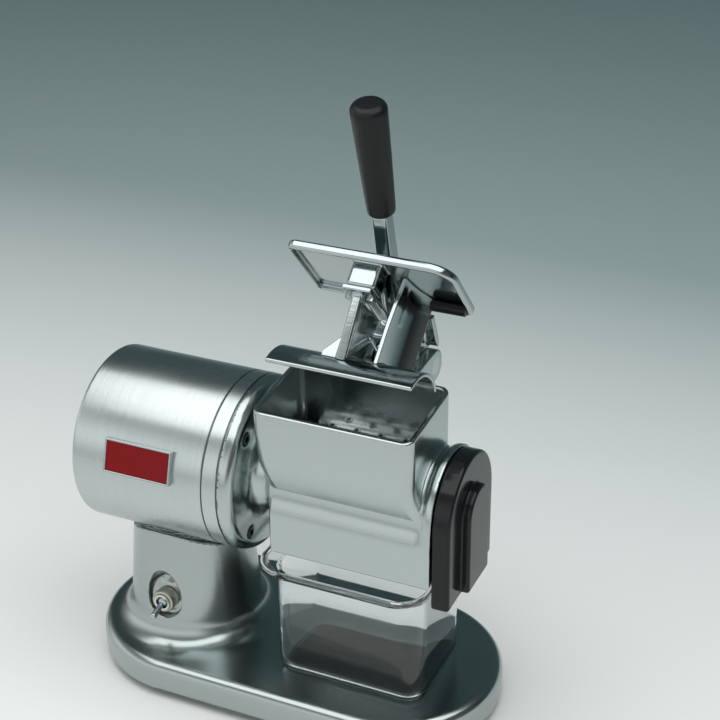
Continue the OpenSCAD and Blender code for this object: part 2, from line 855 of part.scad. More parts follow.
// Black end cover that closes the housing and carries the far end of the drum
module end_cover() {
  cover_len = axis_h - cover_bottom;
  color(black_plastic) difference() {
    union() {
      on_axis() intersection() {
        cover_edge();
        band(0, cover_r + 1, cover_x0, cover_x1 + 1);
      }
      for (side = [0, 1]) mirror([0, side, 0])
        translate([0, 0, cover_bottom]) linear_extrude(height = cover_len) intersection() {
          rotate(90) mirror([0, 1]) cover_edge();
          translate([cover_x0, 0]) square([cover_d + 1, cover_r + 1]);
        }
      slab_x(cover_x1 - 1, cover_x1 + cover_grip_h) {
        translate([0, axis_h]) circle(r = cover_grip_half);
        translate([-cover_grip_half, cover_grip_foot])
          square([2 * cover_grip_half, axis_h - cover_grip_foot]);
      }
      on_axis() band(spigot_r - spigot_wall, spigot_r, cover_x0 - spigot_l, cover_x0 + 1);
    }
    on_axis() {
      band(bush_boss_r, spigot_r - spigot_wall, cover_x0 - spigot_l - 1, cover_x1 - cover_face_t);
      band(0, bush_boss_r + 1, cover_x0 - spigot_l - 1, bush_x0);
      band(0, bush_out_r, bush_x0 - 1, bush_x0 + bush_l);
    }
  }
}

module cover_bush() {
  color(bronze) on_axis() band(end_pin_r + run_gap, bush_out_r, bush_x0, bush_x0 + bush_l);
}

module box_outline(grow_left, grow_right, grow_front, inset) {
  r = box_corner + grow_front - inset;
  round_rect(box_x0 - grow_left + inset, box_x1 + grow_right - inset,
    box_front - grow_front + inset, box_rear + grow_front - inset, r);
}

// Clear container that hangs its rim under the chute and slides out to the front
module container() {
  floor_t = container_wall + 0.5;
  color(clear_plastic) difference() {
    union() {
      translate([0, 0, base_top]) linear_extrude(height = container_h)
        box_outline(0, 0, 0, 0);
      translate([0, 0, box_top - box_rim_h]) linear_extrude(height = box_rim_h)
        box_outline(rim_left, rim_right, rim_front, 0);
    }
    translate([0, 0, base_top + floor_t]) linear_extrude(height = container_h)
      box_outline(0, 0, 0, container_wall);
  }
}

// Turns a piece drawn with the lever closed to the raised place
module raised() {
  translate([0, pivot_y, pivot_z]) rotate([-raised_deg, 0, 0])
    translate([0, -pivot_y, -pivot_z]) children();
}

module at_stem() {
  translate([arm_x, pivot_y, pivot_z]) rotate([stem_deg - 90, 0, 0]) children();
}

// Rear edge that both arm plates share: over the rim of the mouth, round the hub and under the skirt
function arm_rear_edge() = [
  [hopper_rear - wall - neck_low_gap, over_z - neck_h],
  [hopper_rear - wall - neck_gap, over_z],
  [hopper_rear + neck_low_gap, over_z + skirt_side_gap],
  [pivot_y - hub_under_y, pivot_z - hub_under_z],
  [pivot_y, pivot_z],
  [pivot_y - 2, pivot_z + lever_r],
  [lid_rear + neck_low_gap, skirt_under - skirt_gap],
  [lid_rear - lid_skirt_t - skirt_side_gap, skirt_under - skirt_gap]];

// Side shape of the arm's main plate, from the head flange down to the shoe
module arm_side() {
  head_z = lid_boss_under - joint_flange;
  polygon(concat(
    [[arm_head_y, head_z], [arm_toe_y, arm_foot], [arm_heel_y, arm_foot]],
    arm_rear_edge(),
    [[lid_boss_rear + arm_knee, skirt_under - skirt_gap], [lid_boss_rear + joint_over, head_z]]));
}

// Side shape of the arm's cheek, from the guard plate down to the shoe
module cheek_side() {
  polygon(concat(
    [[cheek_head_y, lid_under], [cheek_toe_y, cheek_bend], [cheek_toe_y, arm_foot],
      [cheek_heel_y, arm_foot]],
    arm_rear_edge(),
    [[lid_rear - lid_skirt_t - skirt_side_gap, lid_under]]));
}

// Cast lever with hub, plates down to the shoe, head flange and stem
module press_arm() {
  color(chrome) raised() difference() {
    union() {
      bar_x(hub_x0, hub_x1, pivot_y, pivot_z, lever_r);
      slab_x(boss_x - arm_w / 2, boss_x + arm_w / 2) arm_side();
      slab_x(boss_x - rib_w / 2, boss_x + rib_w / 2) polygon([
        [rib_front, lid_boss_under - joint_flange], [rib_low, rib_foot], [rib_low + rib_t, rib_foot],
        [rib_front + rib_t, lid_boss_under - joint_flange]]);
      translate([boss_x, gusset_y, rib_foot]) rotate([90, 0, 0]) linear_extrude(height = gusset_t)
        polygon([[-gusset_l, 0], [0, 0], [0, gusset_h]]);
      slab_x(cheek_x1 - cheek_w, cheek_x1) difference() {
        cheek_side();
        translate([rod_y, lid_under - rod_r - 0.05]) circle(r = rod_r);
      }
      slab_x(boss_x, ear_right_x + ear_w - 0.5) polygon([[back_y, back_z], [lid_rear + 6, skirt_under - 0.3],
        [lid_rear + 4, skirt_under - 4], [back_y - 2, back_z - 2.5]]);
      translate([boss_x - lid_boss_w / 2 - joint_over, lid_boss_front - joint_over,
        lid_boss_under - joint_flange])
        cube([lid_boss_w + 2 * joint_over, joint_rear - lid_boss_front + joint_over, joint_flange]);
      at_stem() translate([-stem_w / 2, -stem_t / 2, 0]) cube([stem_w, stem_t, stem_l]);
      at_stem() translate([0, 0, stem_l - 1]) cylinder(h = stem_tang_l + 1, r = stem_tang_r);
    }
    bar_x(hub_x0 - 1, hub_x1 + 1, pivot_y, pivot_z, hub_bush_r);
    bar_x(shoe_x0, shoe_x1, 0, axis_h, shoe_out_r);
    at_lid_screws() translate([0, 0, lid_boss_under - joint_flange - 1]) cylinder(h = 6, r = m4_r);
  }
}

module hub_bushes() {
  color(bronze) raised() for (x = [hub_x0, hub_x1 - hub_bush_l]) difference() {
    bar_x(x, x + hub_bush_l, pivot_y, pivot_z, hub_bush_r);
    bar_x(x - 1, x + hub_bush_l + 1, pivot_y, pivot_z, pin_r + run_gap);
  }
}

module at_lid_screws() {
  y = (lid_boss_front + lid_boss_rear) / 2;
  for (side = [-1, 1]) translate([boss_x + side * (arm_w / 2 + m4_head_r + seam / 2), y, 0]) children();
}

// Guard plate with a turned down edge and a boss that takes the arm
module lid_plate() {
  color(chrome) raised() difference() {
    union() {
      difference() {
        translate([0, 0, skirt_under]) linear_extrude(height = lid_skirt)
          round_rect(lid_x0, lid_x1, lid_front, lid_rear, lid_corner);
        translate([0, 0, skirt_under - 1]) linear_extrude(height = lid_skirt - lid_t + 1)
          round_rect(lid_x0 + lid_skirt_t, lid_x1 - lid_skirt_t, lid_front + lid_skirt_t,
            lid_rear - lid_skirt_t, lid_corner - lid_skirt_t);
      }
      translate([boss_x - lid_boss_w / 2, lid_boss_front, lid_boss_under])
        cube([lid_boss_w, lid_boss_rear - lid_boss_front, lid_under - lid_boss_under + 1]);
    }
    translate([arm_x - notch_half, notch_front, skirt_under - 1])
      cube([2 * notch_half, lid_rear + 1 - notch_front, lid_skirt + 2]);
    at_lid_screws() translate([0, 0, lid_boss_under - 1]) cylinder(h = 9, r = m4_r);
  }
}

// Curved shoe that presses the food on to the drum
module press_shoe() {
  reach = 80;
  color(chrome) raised() slab_x(shoe_x0, shoe_x1) intersection() {
    translate([0, axis_h]) difference() {
      circle(r = shoe_out_r);
      circle(r = shoe_in_r);
    }
    translate([0, axis_h]) polygon([[0, 0], [reach * cos(shoe_rear_deg), reach * sin(shoe_rear_deg)],
      [0, reach], [reach * cos(shoe_front_deg), reach * sin(shoe_front_deg)]]);
  }
}

module lid_screws() {
  z = lid_boss_under - joint_flange;
  color(dark_steel) raised() at_lid_screws() {
    translate([0, 0, z - m4_head_h]) cylinder(h = m4_head_h, r = m4_head_r);
    translate([0, 0, z - 1]) cylinder(h = joint_flange + 8, r = m4_r);
  }
}

// Black rod under the guard plate between the cheek and the edge
module bumper_rod() {
  color(black_plastic) raised()
    bar_x(cheek_x1 - cheek_w, rod_x1, rod_y, lid_under - rod_r - 0.05, rod_r);
}

// Tapered grip on the tang of the stem
module lever_grip() {
  color(black_plastic) raised() at_stem() difference() {
    translate([0, 0, stem_l]) rotate_extrude() {
      polygon([[0, 0], [grip_neck_r - 2, 0], [grip_neck_r, 2], [grip_r, grip_l - grip_round],
        [grip_r - grip_round, grip_l], [0, grip_l]]);
      intersection() {
        translate([grip_r - grip_round, grip_l - grip_round]) circle(r = grip_round);
        square([grip_r + 1, grip_l + 1]);
      }
    }
    translate([0, 0, stem_l - 1]) cylinder(h = stem_tang_l + 1, r = stem_tang_r);
  }
}

pedestal();
bottom_plate();
rubber_feet();
bottom_screws();
saddle_bolts();
motor_shell();
front_shield();
stator_core();
stator_winding();
rear_bearing();
front_bearing();
motor_shaft();
rotor_core();
rotor_rings();
shaft_seal();
grating_body();
flange_screws();
badge_frame();
badge_plate();
switch_body();
switch_nut();
switch_lever();
capacitor();
terminal_block();
cord_gland();
gland_nut();
pivot_pin();
pivot_ring();
drive_pin();
grating_drum();
drive_cap();
end_cap();
end_cover();
cover_bush();
container();
press_arm();
hub_bushes();
lid_plate();
press_shoe();
lid_screws();
bumper_rod();
lever_grip();
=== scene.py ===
# %% [markdown]
# # An electric grater, dressed for the studio
# The machine is a motor on a cast pedestal, with a grating drum below a hopper, a hand
# lever that swings a press shoe down to the drum, and a clear drawer under the chute.
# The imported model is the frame. It gives every piece its place and its joint, and the
# cells below put a finely finished piece over each plain one that can be seen.

import json
import math

import bmesh
import bpy
import numpy as np
from mathutils import Matrix, Vector


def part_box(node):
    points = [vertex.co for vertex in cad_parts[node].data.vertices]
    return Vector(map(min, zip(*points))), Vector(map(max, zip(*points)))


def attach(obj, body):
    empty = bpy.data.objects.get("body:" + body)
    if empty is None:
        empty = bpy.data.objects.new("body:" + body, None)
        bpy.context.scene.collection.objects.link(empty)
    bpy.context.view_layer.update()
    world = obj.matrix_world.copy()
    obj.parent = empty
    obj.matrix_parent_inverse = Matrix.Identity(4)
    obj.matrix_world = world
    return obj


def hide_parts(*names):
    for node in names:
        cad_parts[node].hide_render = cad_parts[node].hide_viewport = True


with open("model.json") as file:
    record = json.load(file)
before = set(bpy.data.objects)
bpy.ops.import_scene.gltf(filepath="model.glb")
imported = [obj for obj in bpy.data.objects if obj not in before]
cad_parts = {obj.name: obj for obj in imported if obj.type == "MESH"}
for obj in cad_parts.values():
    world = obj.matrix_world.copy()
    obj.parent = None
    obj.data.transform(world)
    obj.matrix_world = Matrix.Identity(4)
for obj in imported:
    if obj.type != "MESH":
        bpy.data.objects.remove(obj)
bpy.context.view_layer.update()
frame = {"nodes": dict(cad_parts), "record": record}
scene = bpy.context.scene
MM = 0.001
body_of = {n: b for b, names in frame["record"]["behaviour"]["bodies"].items() for n in names}

# %% [markdown]
# ## Small tools
# Most pieces start as a clean copy of the plain piece: its doubled points are merged
# and flat faces are joined, so a bevel can run along each real edge.
# Turned pieces are made on a lathe from a profile instead, because that gives them
# smooth rims and exact circles.


# %% Mesh helpers
def size_of(node):
    """Lowest and highest corner of a plain piece, in millimetres."""
    low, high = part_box(node)
    return np.array(low) / MM, np.array(high) / MM


def add_piece(name, mesh, material, *nodes, look=None):
    """Puts a finished mesh in the scene in place of the plain pieces named."""
    piece = bpy.data.objects.new(name, mesh)
    scene.collection.objects.link(piece)
    mesh.materials.clear()
    mesh.materials.append(MATERIALS[look or material])
    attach(piece, body_of[nodes[0]])
    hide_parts(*nodes)
    print(name, "stands for", ", ".join(nodes), "with", len(mesh.polygons), "faces")
    return piece


# %% Clean copies and soft edges
def clean_copy(node, flat=1.0, merge=0.00002):
    """A copy of a plain piece with its points merged and its flat faces joined."""
    mesh = frame["nodes"][node].data.copy()
    edit = bmesh.new()
    edit.from_mesh(mesh)
    bmesh.ops.remove_doubles(edit, verts=edit.verts, dist=merge)
    bmesh.ops.dissolve_limit(edit, angle_limit=math.radians(flat), verts=edit.verts, edges=edit.edges)
    edit.to_mesh(mesh)
    edit.free()
    for layer in list(mesh.uv_layers):
        mesh.uv_layers.remove(layer)
    mesh.name = node + "_fine"
    return mesh


def soften(piece, width, segments=3, angle=35):
    """Rounds the real edges of a piece and smooths the faces between them."""
    bevel = piece.modifiers.new("edge_round", "BEVEL")
    bevel.width = width * MM
    bevel.segments = segments
    bevel.limit_method = "ANGLE"
    bevel.angle_limit = math.radians(angle)
    bevel.use_clamp_overlap = True
    bevel.harden_normals = True
    smooth_faces(piece.data, angle)
    return piece


def smooth_faces(mesh, angle=35):
    """Smooth shading, with the sharp edges kept sharp."""
    mesh.shade_smooth()
    mesh.set_sharp_from_angle(angle=math.radians(angle))


# %% Lathe
def lathe(name, profile, centre, axis, steps=128):
    """Turns a profile of (radius, height) points, in millimetres, about an axis."""
    edit = bmesh.new()
    turn = Vector((0, 0, 1)).rotation_difference(Vector(axis)).to_matrix().to_4x4()
    place = Matrix.Translation(Vector(centre)) @ turn
    rings = []
    for radius, height in profile:
        if radius < 1e-6:
            rings.append([edit.verts.new(place @ Vector((0, 0, height * MM)))])
            continue
        ring = []
        for i in range(steps):
            a = 2 * math.pi * i / steps
            spot = Vector((radius * MM * math.cos(a), radius * MM * math.sin(a), height * MM))
            ring.append(edit.verts.new(place @ spot))
        rings.append(ring)
    for one, two in zip(rings, rings[1:]):
        for i in range(steps):
            j = (i + 1) % steps
            corners = [one[i % len(one)], one[j % len(one)], two[j % len(two)], two[i % len(two)]]
            corners = list(dict.fromkeys(corners))
            if len(corners) > 2:
                edit.faces.new(corners)
    bmesh.ops.remove_doubles(edit, verts=edit.verts, dist=1e-7)
    bmesh.ops.recalc_face_normals(edit, faces=edit.faces)
    mesh = bpy.data.meshes.new(name)
    edit.to_mesh(mesh)
    edit.free()
    smooth_faces(mesh)
    return mesh


def round_corner(centre, radius, start, end, steps=6):
    """Points of a round in a profile, about a centre, from one angle to another."""
    points = []
    for i in range(steps + 1):
        a = math.radians(start + (end - start) * i / steps)
        points.append((centre[0] + radius * math.cos(a), centre[1] + radius * math.sin(a)))
    return points


# %% [markdown]
# ## Castings
# A casting has no sharp inner corner: every rib runs into its wall with a soft fillet,
# and every outer edge is rounded by polishing.
# A distance field gives both at once. Simple solids are joined with a soft minimum, and
# the surface is then pulled out of a grid of cells and each point slid onto it.
# Bevels on a plain mesh can't make these fillets, so the field was chosen.


# %% Distance fields
def rounded(q):
    """Distance from a corner that several walls make."""
    return np.linalg.norm(np.maximum(q, 0), axis=-1) + np.minimum(q.max(-1), 0)


def block(p, low, high, r):
    """Distance to a box with rounded edges, in millimetres."""
    middle = (np.array(low) + np.array(high)) / 2
    half = (np.array(high) - np.array(low)) / 2 - r
    return rounded(np.abs(p - middle) - half) - r


def meet(r, *walls):
    """The space inside all walls, its edges rounded by r."""
    return rounded(np.stack(walls, -1) + r) - r


def join(k, *solids):
    """All solids together, with a fillet of size k between them."""
    result = solids[0]
    for solid in solids[1:]:
        blend = np.maximum(k - np.abs(result - solid), 0) / k
        result = np.minimum(result, solid) - blend * blend * k / 4
    return result


def carve(r, solid, *holes):
    """A solid less its holes, the edges rounded by r."""
    for hole in holes:
        solid = meet(r, solid, -hole)
    return solid


# %% Bars and plates
def rod_x(p, y, z, radius, x0, x1, r=0.5):
    """A round bar along X with rounded ends."""
    around = np.hypot(p[..., 1] - y, p[..., 2] - z) - radius
    return meet(r, around, x0 - p[..., 0], p[..., 0] - x1)


def outline(p, points):
    """Distance to a flat outline in Y and Z."""
    y, z = p[..., 1], p[..., 2]
    far = np.full(y.shape, 1e9)
    inside = np.zeros(y.shape, bool)
    for (ay, az), (by, bz) in zip(points, points[1:] + points[:1]):
        ey, ez = by - ay, bz - az
        along = np.clip(((y - ay) * ey + (z - az) * ez) / (ey * ey + ez * ez), 0, 1)
        far = np.minimum(far, np.hypot(y - ay - along * ey, z - az - along * ez))
        between = (az > z) != (bz > z)
        inside ^= between & (y < ay + (z - az) * ey / (ez if ez else 1e-9))
    return np.where(inside, -far, far)


def plate_x(p, points, x0, x1, r=1.0):
    """A flat plate across X with the given outline and rounded edges."""
    return meet(r, outline(p, points), x0 - p[..., 0], p[..., 0] - x1)


def slope(shape, p, step=0.01):
    """The value of a field, and the direction in which it grows."""
    value = shape(p)
    parts = [(shape(p + step * shift) - value) / step for shift in np.eye(3)]
    return value, np.stack(parts, -1)


# %% Casting
def cells_of(solid):
    """Cells of the grid that the surface runs through."""
    nx, ny, nz = np.array(solid.shape) - 1
    count = sum(
        solid[a : a + nx, b : b + ny, c : c + nz].astype(int)
        for a in (0, 1) for b in (0, 1) for c in (0, 1)
    )
    return (count > 0) & (count < 8)


def faces_of(solid, number):
    """Four-sided faces between the numbered cells, all of them facing outwards."""
    faces = []
    for axis in range(3):
        one, two = [a for a in range(3) if a != axis]
        ahead = np.roll(solid, -1, axis)
        for crossing, leaving in ((solid & ~ahead, True), (~solid & ahead, False)):
            spots = np.argwhere(crossing)
            spots = spots[spots[:, axis] < solid.shape[axis] - 1]
            corners = []
            for back_one, back_two in ((0, 0), (1, 0), (1, 1), (0, 1)):
                near = spots.copy()
                near[:, one] -= back_one
                near[:, two] -= back_two
                corners.append(number[tuple(near.T)])
            corners = np.stack(corners, -1)
            faces.append(corners if leaving == (axis != 1) else corners[:, ::-1])
    return np.concatenate(faces)


def cast(name, shape, low, high, pitch, flat=0.02, slides=3):
    """Makes the mesh of a distance field: one point per cell, slid onto the surface."""
    axes = [np.arange(a - 2 * pitch, b + 3 * pitch, pitch) for a, b in zip(low, high)]
    solid = shape(np.stack(np.meshgrid(*axes, indexing="ij"), -1)) < 0
    solid[[0, -1]] = solid[:, [0, -1]] = solid[:, :, [0, -1]] = False
    crossed = cells_of(solid)
    cells = np.argwhere(crossed)
    number = np.full(crossed.shape, -1)
    number[tuple(cells.T)] = np.arange(len(cells))
    points = np.array([a[0] for a in axes]) + (cells + 0.5) * pitch
    for _ in range(slides):
        value, pull = slope(shape, points)
        pull /= np.maximum((pull * pull).sum(-1, keepdims=True), 0.2)
        points = points - np.clip(value[:, None] * pull, -pitch, pitch)
    mesh = bpy.data.meshes.new(name)
    mesh.from_pydata((points * MM).tolist(), [], faces_of(solid, number).tolist())
    edit = bmesh.new()
    edit.from_mesh(mesh)
    bmesh.ops.dissolve_limit(edit, angle_limit=math.radians(flat), verts=edit.verts, edges=edit.edges)
    bmesh.ops.triangulate(edit, faces=[f for f in edit.faces if len(f.verts) > 4])
    edit.to_mesh(mesh)
    edit.free()
    ends = np.zeros(len(mesh.vertices) * 3)
    mesh.vertices.foreach_get("co", ends)
    normals = slope(shape, ends.reshape(-1, 3) / MM)[1]
    normals /= np.linalg.norm(normals, axis=-1, keepdims=True)
    mesh.shade_smooth()
    mesh.normals_split_custom_set_from_vertices(normals.tolist())
    return mesh


def add_cast(shape, node, pitch, material, look=None, spare=(0, 0, 0), ending="_cast"):
    """Casts a field in place of a plain piece, with spare room where it reaches further."""
    low, high = size_of(node)
    name = node + ending
    mesh = cast(name, shape, low, high + np.array(spare), pitch)
    return add_piece(name, mesh, material, node, look=look)


# %% [markdown]
# ## Finishes
# The motor is turned aluminium with fine rings, the castings are satin, and the lever
# is polished by hand, so its reflections wander a little.
# Each finish is built from noise in object space, because real metal is never one even
# tone, and the same small tool draws all of them.


# %% Finish tools
def finish(name, colour, metal, rough, spread=0.08, grain=(400, 400, 400), bump=0.02, tint=0.05, **more):
    """A procedural finish: noise moves its tone, its roughness and its surface."""
    material = bpy.data.materials.new(name)
    material.use_nodes = True
    tree = material.node_tree
    shader = tree.nodes["Principled BSDF"]
    shader.inputs["Metallic"].default_value = metal
    for key, value in more.items():
        shader.inputs[key.replace("_", " ")].default_value = value
    place = tree.nodes.new("ShaderNodeTexCoord")
    stretch = tree.nodes.new("ShaderNodeMapping")
    stretch.inputs["Scale"].default_value = grain
    fine = tree.nodes.new("ShaderNodeTexNoise")
    fine.inputs["Scale"].default_value = 1.0
    fine.inputs["Detail"].default_value = 4.0
    broad = tree.nodes.new("ShaderNodeTexNoise")
    broad.inputs["Scale"].default_value = 22.0
    broad.inputs["Detail"].default_value = 3.0
    tone = tree.nodes.new("ShaderNodeMix")
    tone.data_type = "RGBA"
    tone.inputs["A"].default_value = [c * (1 - tint) for c in colour] + [1]
    tone.inputs["B"].default_value = [min(1, c * (1 + tint)) for c in colour] + [1]
    level = tree.nodes.new("ShaderNodeMapRange")
    level.inputs["From Min"].default_value = 0.3
    level.inputs["From Max"].default_value = 0.7
    level.inputs["To Min"].default_value = max(0.02, rough - spread)
    level.inputs["To Max"].default_value = rough + spread
    relief = tree.nodes.new("ShaderNodeBump")
    relief.inputs["Strength"].default_value = bump
    relief.inputs["Distance"].default_value = 0.001
    link = tree.links.new
    link(place.outputs["Object"], stretch.inputs["Vector"])
    link(stretch.outputs["Vector"], fine.inputs["Vector"])
    link(place.outputs["Object"], broad.inputs["Vector"])
    link(fine.outputs["Fac"], tone.inputs["Factor"])
    link(tone.outputs["Result"], shader.inputs["Base Color"])
    link(broad.outputs["Fac"], level.inputs["Value"])
    link(level.outputs["Result"], shader.inputs["Roughness"])
    link(fine.outputs["Fac"], relief.inputs["Height"])
    link(relief.outputs["Normal"], shader.inputs["Normal"])
    return material


# %% Finishes of the machine
MATERIALS = {
    "brushed_aluminium": finish(
        "turned_rings", (0.54, 0.585, 0.585), metal=1.0, rough=0.27,
        spread=0.02, grain=(1400, 2, 2), bump=0.06, tint=0.08,
    ),
    "cast_aluminium": finish(
        "satin_casting", (0.47, 0.525, 0.52), metal=1.0, rough=0.2,
        spread=0.02, grain=(900, 900, 60), bump=0.02, tint=0.03,
    ),
    # Painted shade: a darker copy of the satin casting, so that the pedestal reads darker than the body
    # of the same metal
    "stand_aluminium_painted_shade": finish(
        "stand_casting_painted_shade", (0.4, 0.45, 0.445), metal=1.0, rough=0.22,
        spread=0.02, grain=(900, 900, 60), bump=0.02, tint=0.03,
    ),
    "polished_metal": finish(
        "hand_polish", (0.46, 0.515, 0.515), metal=1.0, rough=0.13,
        spread=0.03, grain=(160, 420, 420), bump=0.03, tint=0.03,
    ),
    "steel": finish(
        "bright_steel", (0.62, 0.63, 0.64), metal=1.0, rough=0.22,
        spread=0.06, grain=(900, 900, 900), bump=0.03, tint=0.04,
    ),
    "drum_steel": finish(
        "drum_sheet", (0.66, 0.67, 0.68), metal=1.0, rough=0.2,
        spread=0.06, grain=(500, 900, 900), bump=0.03, tint=0.04,
    ),
    "dark_steel": finish(
        "black_oxide", (0.03, 0.03, 0.035), metal=0.7, rough=0.35,
        spread=0.08, grain=(900, 900, 900), bump=0.04, tint=0.2,
    ),
    "rubber": finish(
        "black_rubber", (0.02, 0.02, 0.02), metal=0.0, rough=0.75,
        spread=0.08, grain=(900, 900, 900), bump=0.08, tint=0.2,
    ),
    "copper": finish(
        "winding_copper", (0.72, 0.35, 0.18), metal=1.0, rough=0.3,
        spread=0.06, grain=(300, 900, 900), bump=0.05, tint=0.08,
    ),
    "bronze": finish(
        "bearing_bronze", (0.6, 0.42, 0.2), metal=1.0, rough=0.3,
        spread=0.06, grain=(700, 700, 700), bump=0.03, tint=0.06,
    ),
    "red_enamel": finish(
        "red_paint", (0.2, 0.005, 0.008), metal=0.0, rough=0.3,
        spread=0.04, grain=(500, 500, 500), bump=0.02, tint=0.08,
        Specular_IOR_Level=0.15,
    ),
    "gloss_black": finish(
        "gloss_moulding", (0.008, 0.009, 0.01), metal=0.0, rough=0.16,
        spread=0.05, grain=(300, 300, 300), bump=0.01, tint=0.2,
        Specular_IOR_Level=0.3,
    ),
    "satin_black": finish(
        "satin_moulding", (0.008, 0.009, 0.01), metal=0.0, rough=0.32,
        spread=0.06, grain=(1500, 1500, 1500), bump=0.04, tint=0.2,
        Specular_IOR_Level=0.25,
    ),
    "clear_plastic": finish(
        "clear_moulding", (0.93, 0.95, 0.95), metal=0.0, rough=0.06,
        spread=0.03, grain=(120, 120, 120), bump=0.01, tint=0.01,
        Transmission_Weight=1.0, IOR=1.46,
    ),
    "nickel": finish(
        "dull_nickel", (0.5, 0.47, 0.4), metal=1.0, rough=0.36,
        spread=0.06, grain=(900, 900, 900), bump=0.03, tint=0.06,
    ),
    "pale_plastic": finish(
        "pale_moulding", (0.75, 0.74, 0.7), metal=0.0, rough=0.4,
        spread=0.06, grain=(600, 600, 600), bump=0.02, tint=0.04,
    ),
}
print("finishes:", ", ".join(MATERIALS))

# %% [markdown]
# ## Body of the grater
# Flange, neck, drum housing, hopper and chute are one casting on the real machine.
# The front of the hopper follows the swing of the press shoe, so its wall is an arc
# about a line behind the pivot, and it meets the drum housing in a clear crease.
# Boolean solids with bevels would break where neck, housing and hopper run together,
# so these forms are joined as a field.

# %% Sizes of the body
motor_lo, motor_hi = size_of("motor_shell")
body_lo, body_hi = size_of("grating_body")
pin_lo, pin_hi = size_of("pivot_pin")
AXIS = (motor_lo[2] + motor_hi[2]) / 2
MOTOR_R = (motor_hi[2] - motor_lo[2]) / 2
PIVOT_Y, PIVOT_Z = (pin_lo[1] + pin_hi[1]) / 2, (pin_lo[2] + pin_hi[2]) / 2
HOUSING_R, BORE_R, WALL = 36.6, 32.0, 3.5
RIM_OUT, RIM_L = 2.0, 3.5
FLANGE_T, FLANGE_ROUND, NECK_R = 9.0, 7.0, 29.0
HOPPER_X0, HOPPER_X1, HOPPER_REAR = body_hi[0] - 119.5, body_hi[0] - 10.5, 22.0
FRONT_R, FRONT_BACK = 146.0, 35.5
LEAN, LEAN_TOP, LEAN_H = 6.0, AXIS + 34, 30.0
MOUTH_FRONT, MOUTH_RISE = -47.0, 0.08
CHUTE_BOTTOM, CHUTE_FRONT, CHUTE_REAR = AXIS - 40, -41.0, 37.0
CHUTE_ROUND, CHUTE_WALL = 17.0, 4.5
EAR_STARTS, EAR_T, EAR_R = (HOPPER_X0 + 33, HOPPER_X0 + 74), 7.5, 11.3
PIN_HOLE_R = 5.0
BOLT_R, SINK_R, SINK_FLOOR = 48.0, 4.9, 4.4
BOLT_TURNS = [math.radians(a) for a in (48, 132, 228, 312)]
print(f"motor radius {MOTOR_R:.1f}, axis at {AXIS:.1f} and pivot at {PIVOT_Z:.1f} mm")


# %% Hopper, chute and ears
def arc(cy, cz, radius, start, end, steps=12):
    """Points of an arc in Y and Z."""
    turns = [math.radians(start + (end - start) * i / steps) for i in range(steps + 1)]
    return [(cy + radius * math.cos(a), cz + radius * math.sin(a)) for a in turns]


def hopper_walls(p, inset=0.0):
    """Front, rear, left and right wall of the hopper, moved in by an inset."""
    x, y, z = p[..., 0], p[..., 1], p[..., 2]
    front = np.hypot(y - PIVOT_Y - FRONT_BACK, z - PIVOT_Z) - FRONT_R
    lean = LEAN * np.clip((LEAN_TOP - z) / LEAN_H, 0, 1) ** 2.5
    left, right = HOPPER_X0 + lean, HOPPER_X1 + lean
    return front + inset, y - HOPPER_REAR + inset, left + inset - x, x - right + inset


def hopper_form(p):
    """The hopper, from its sloping mouth down into the housing."""
    y, z = p[..., 1], p[..., 2]
    # A sloping wall is scaled a little, so that its value stays a distance
    mouth = (z - PIVOT_Z - 5 - (y - MOUTH_FRONT) * MOUTH_RISE) * 0.997
    return meet(1.3, meet(8, *hopper_walls(p)), mouth, AXIS + 6 - z)


def chute_form(p):
    """The chute below the drum, round along its upper front edge."""
    line = [(CHUTE_REAR, CHUTE_BOTTOM), (CHUTE_REAR, AXIS + 2)]
    line += arc(CHUTE_FRONT + CHUTE_ROUND, AXIS - 13, CHUTE_ROUND, 90, 180)
    line.append((CHUTE_FRONT, CHUTE_BOTTOM))
    return plate_x(p, line, HOPPER_X0 + 6.5, body_hi[0], 2.5)


def hinge_ears(p):
    """Two ears behind the hopper that hold the lever's pivot."""
    x, y, z = p[..., 0], p[..., 1], p[..., 2]
    line = [
        (HOPPER_REAR - 2, PIVOT_Z + 10), (PIVOT_Y, PIVOT_Z + EAR_R), (PIVOT_Y + 9.2, PIVOT_Z - 6.5),
        (PIVOT_Y - 4, PIVOT_Z - 10.5), (HOPPER_REAR + 9, AXIS + 34), (HOPPER_REAR - 2, AXIS + 26),
    ]
    form = np.minimum(outline(p, line), np.hypot(y - PIVOT_Y, z - PIVOT_Z) - EAR_R)
    return [meet(1.0, form, x0 - x, x - x0 - EAR_T) for x0 in EAR_STARTS]


# %% Openings of the body
def body_openings(p):
    """The inside of the hopper, the drum's bore, the way down and the pivot's hole."""
    end = body_hi[0]
    hollow = meet(0.8, meet(4.5, *hopper_walls(p, WALL)), AXIS - p[..., 2])
    bore = rod_x(p, 0, AXIS, BORE_R, HOPPER_X0 + 8.5, end + 9, 0.3)
    way_low = (HOPPER_X0 + 11, CHUTE_FRONT + CHUTE_WALL, CHUTE_BOTTOM - 30)
    way_high = (end - CHUTE_WALL, CHUTE_REAR - CHUTE_WALL, AXIS)
    way_down = block(p, way_low, way_high, 3)
    hole = rod_x(p, PIVOT_Y, PIVOT_Z, PIN_HOLE_R, HOPPER_X0, HOPPER_X0 + 90, 0.2)
    return hollow, bore, way_down, hole


def screw_sinks(p):
    """Round seats for the screw heads in the flange."""
    x, y, z = p[..., 0], p[..., 1], p[..., 2]
    rounds = []
    for a in BOLT_TURNS:
        rounds.append(np.hypot(y - BOLT_R * math.cos(a), z - AXIS - BOLT_R * math.sin(a)) - SINK_R)
    return meet(0.3, np.min(rounds, 0), body_lo[0] + SINK_FLOOR - x, x - body_lo[0] - 14)


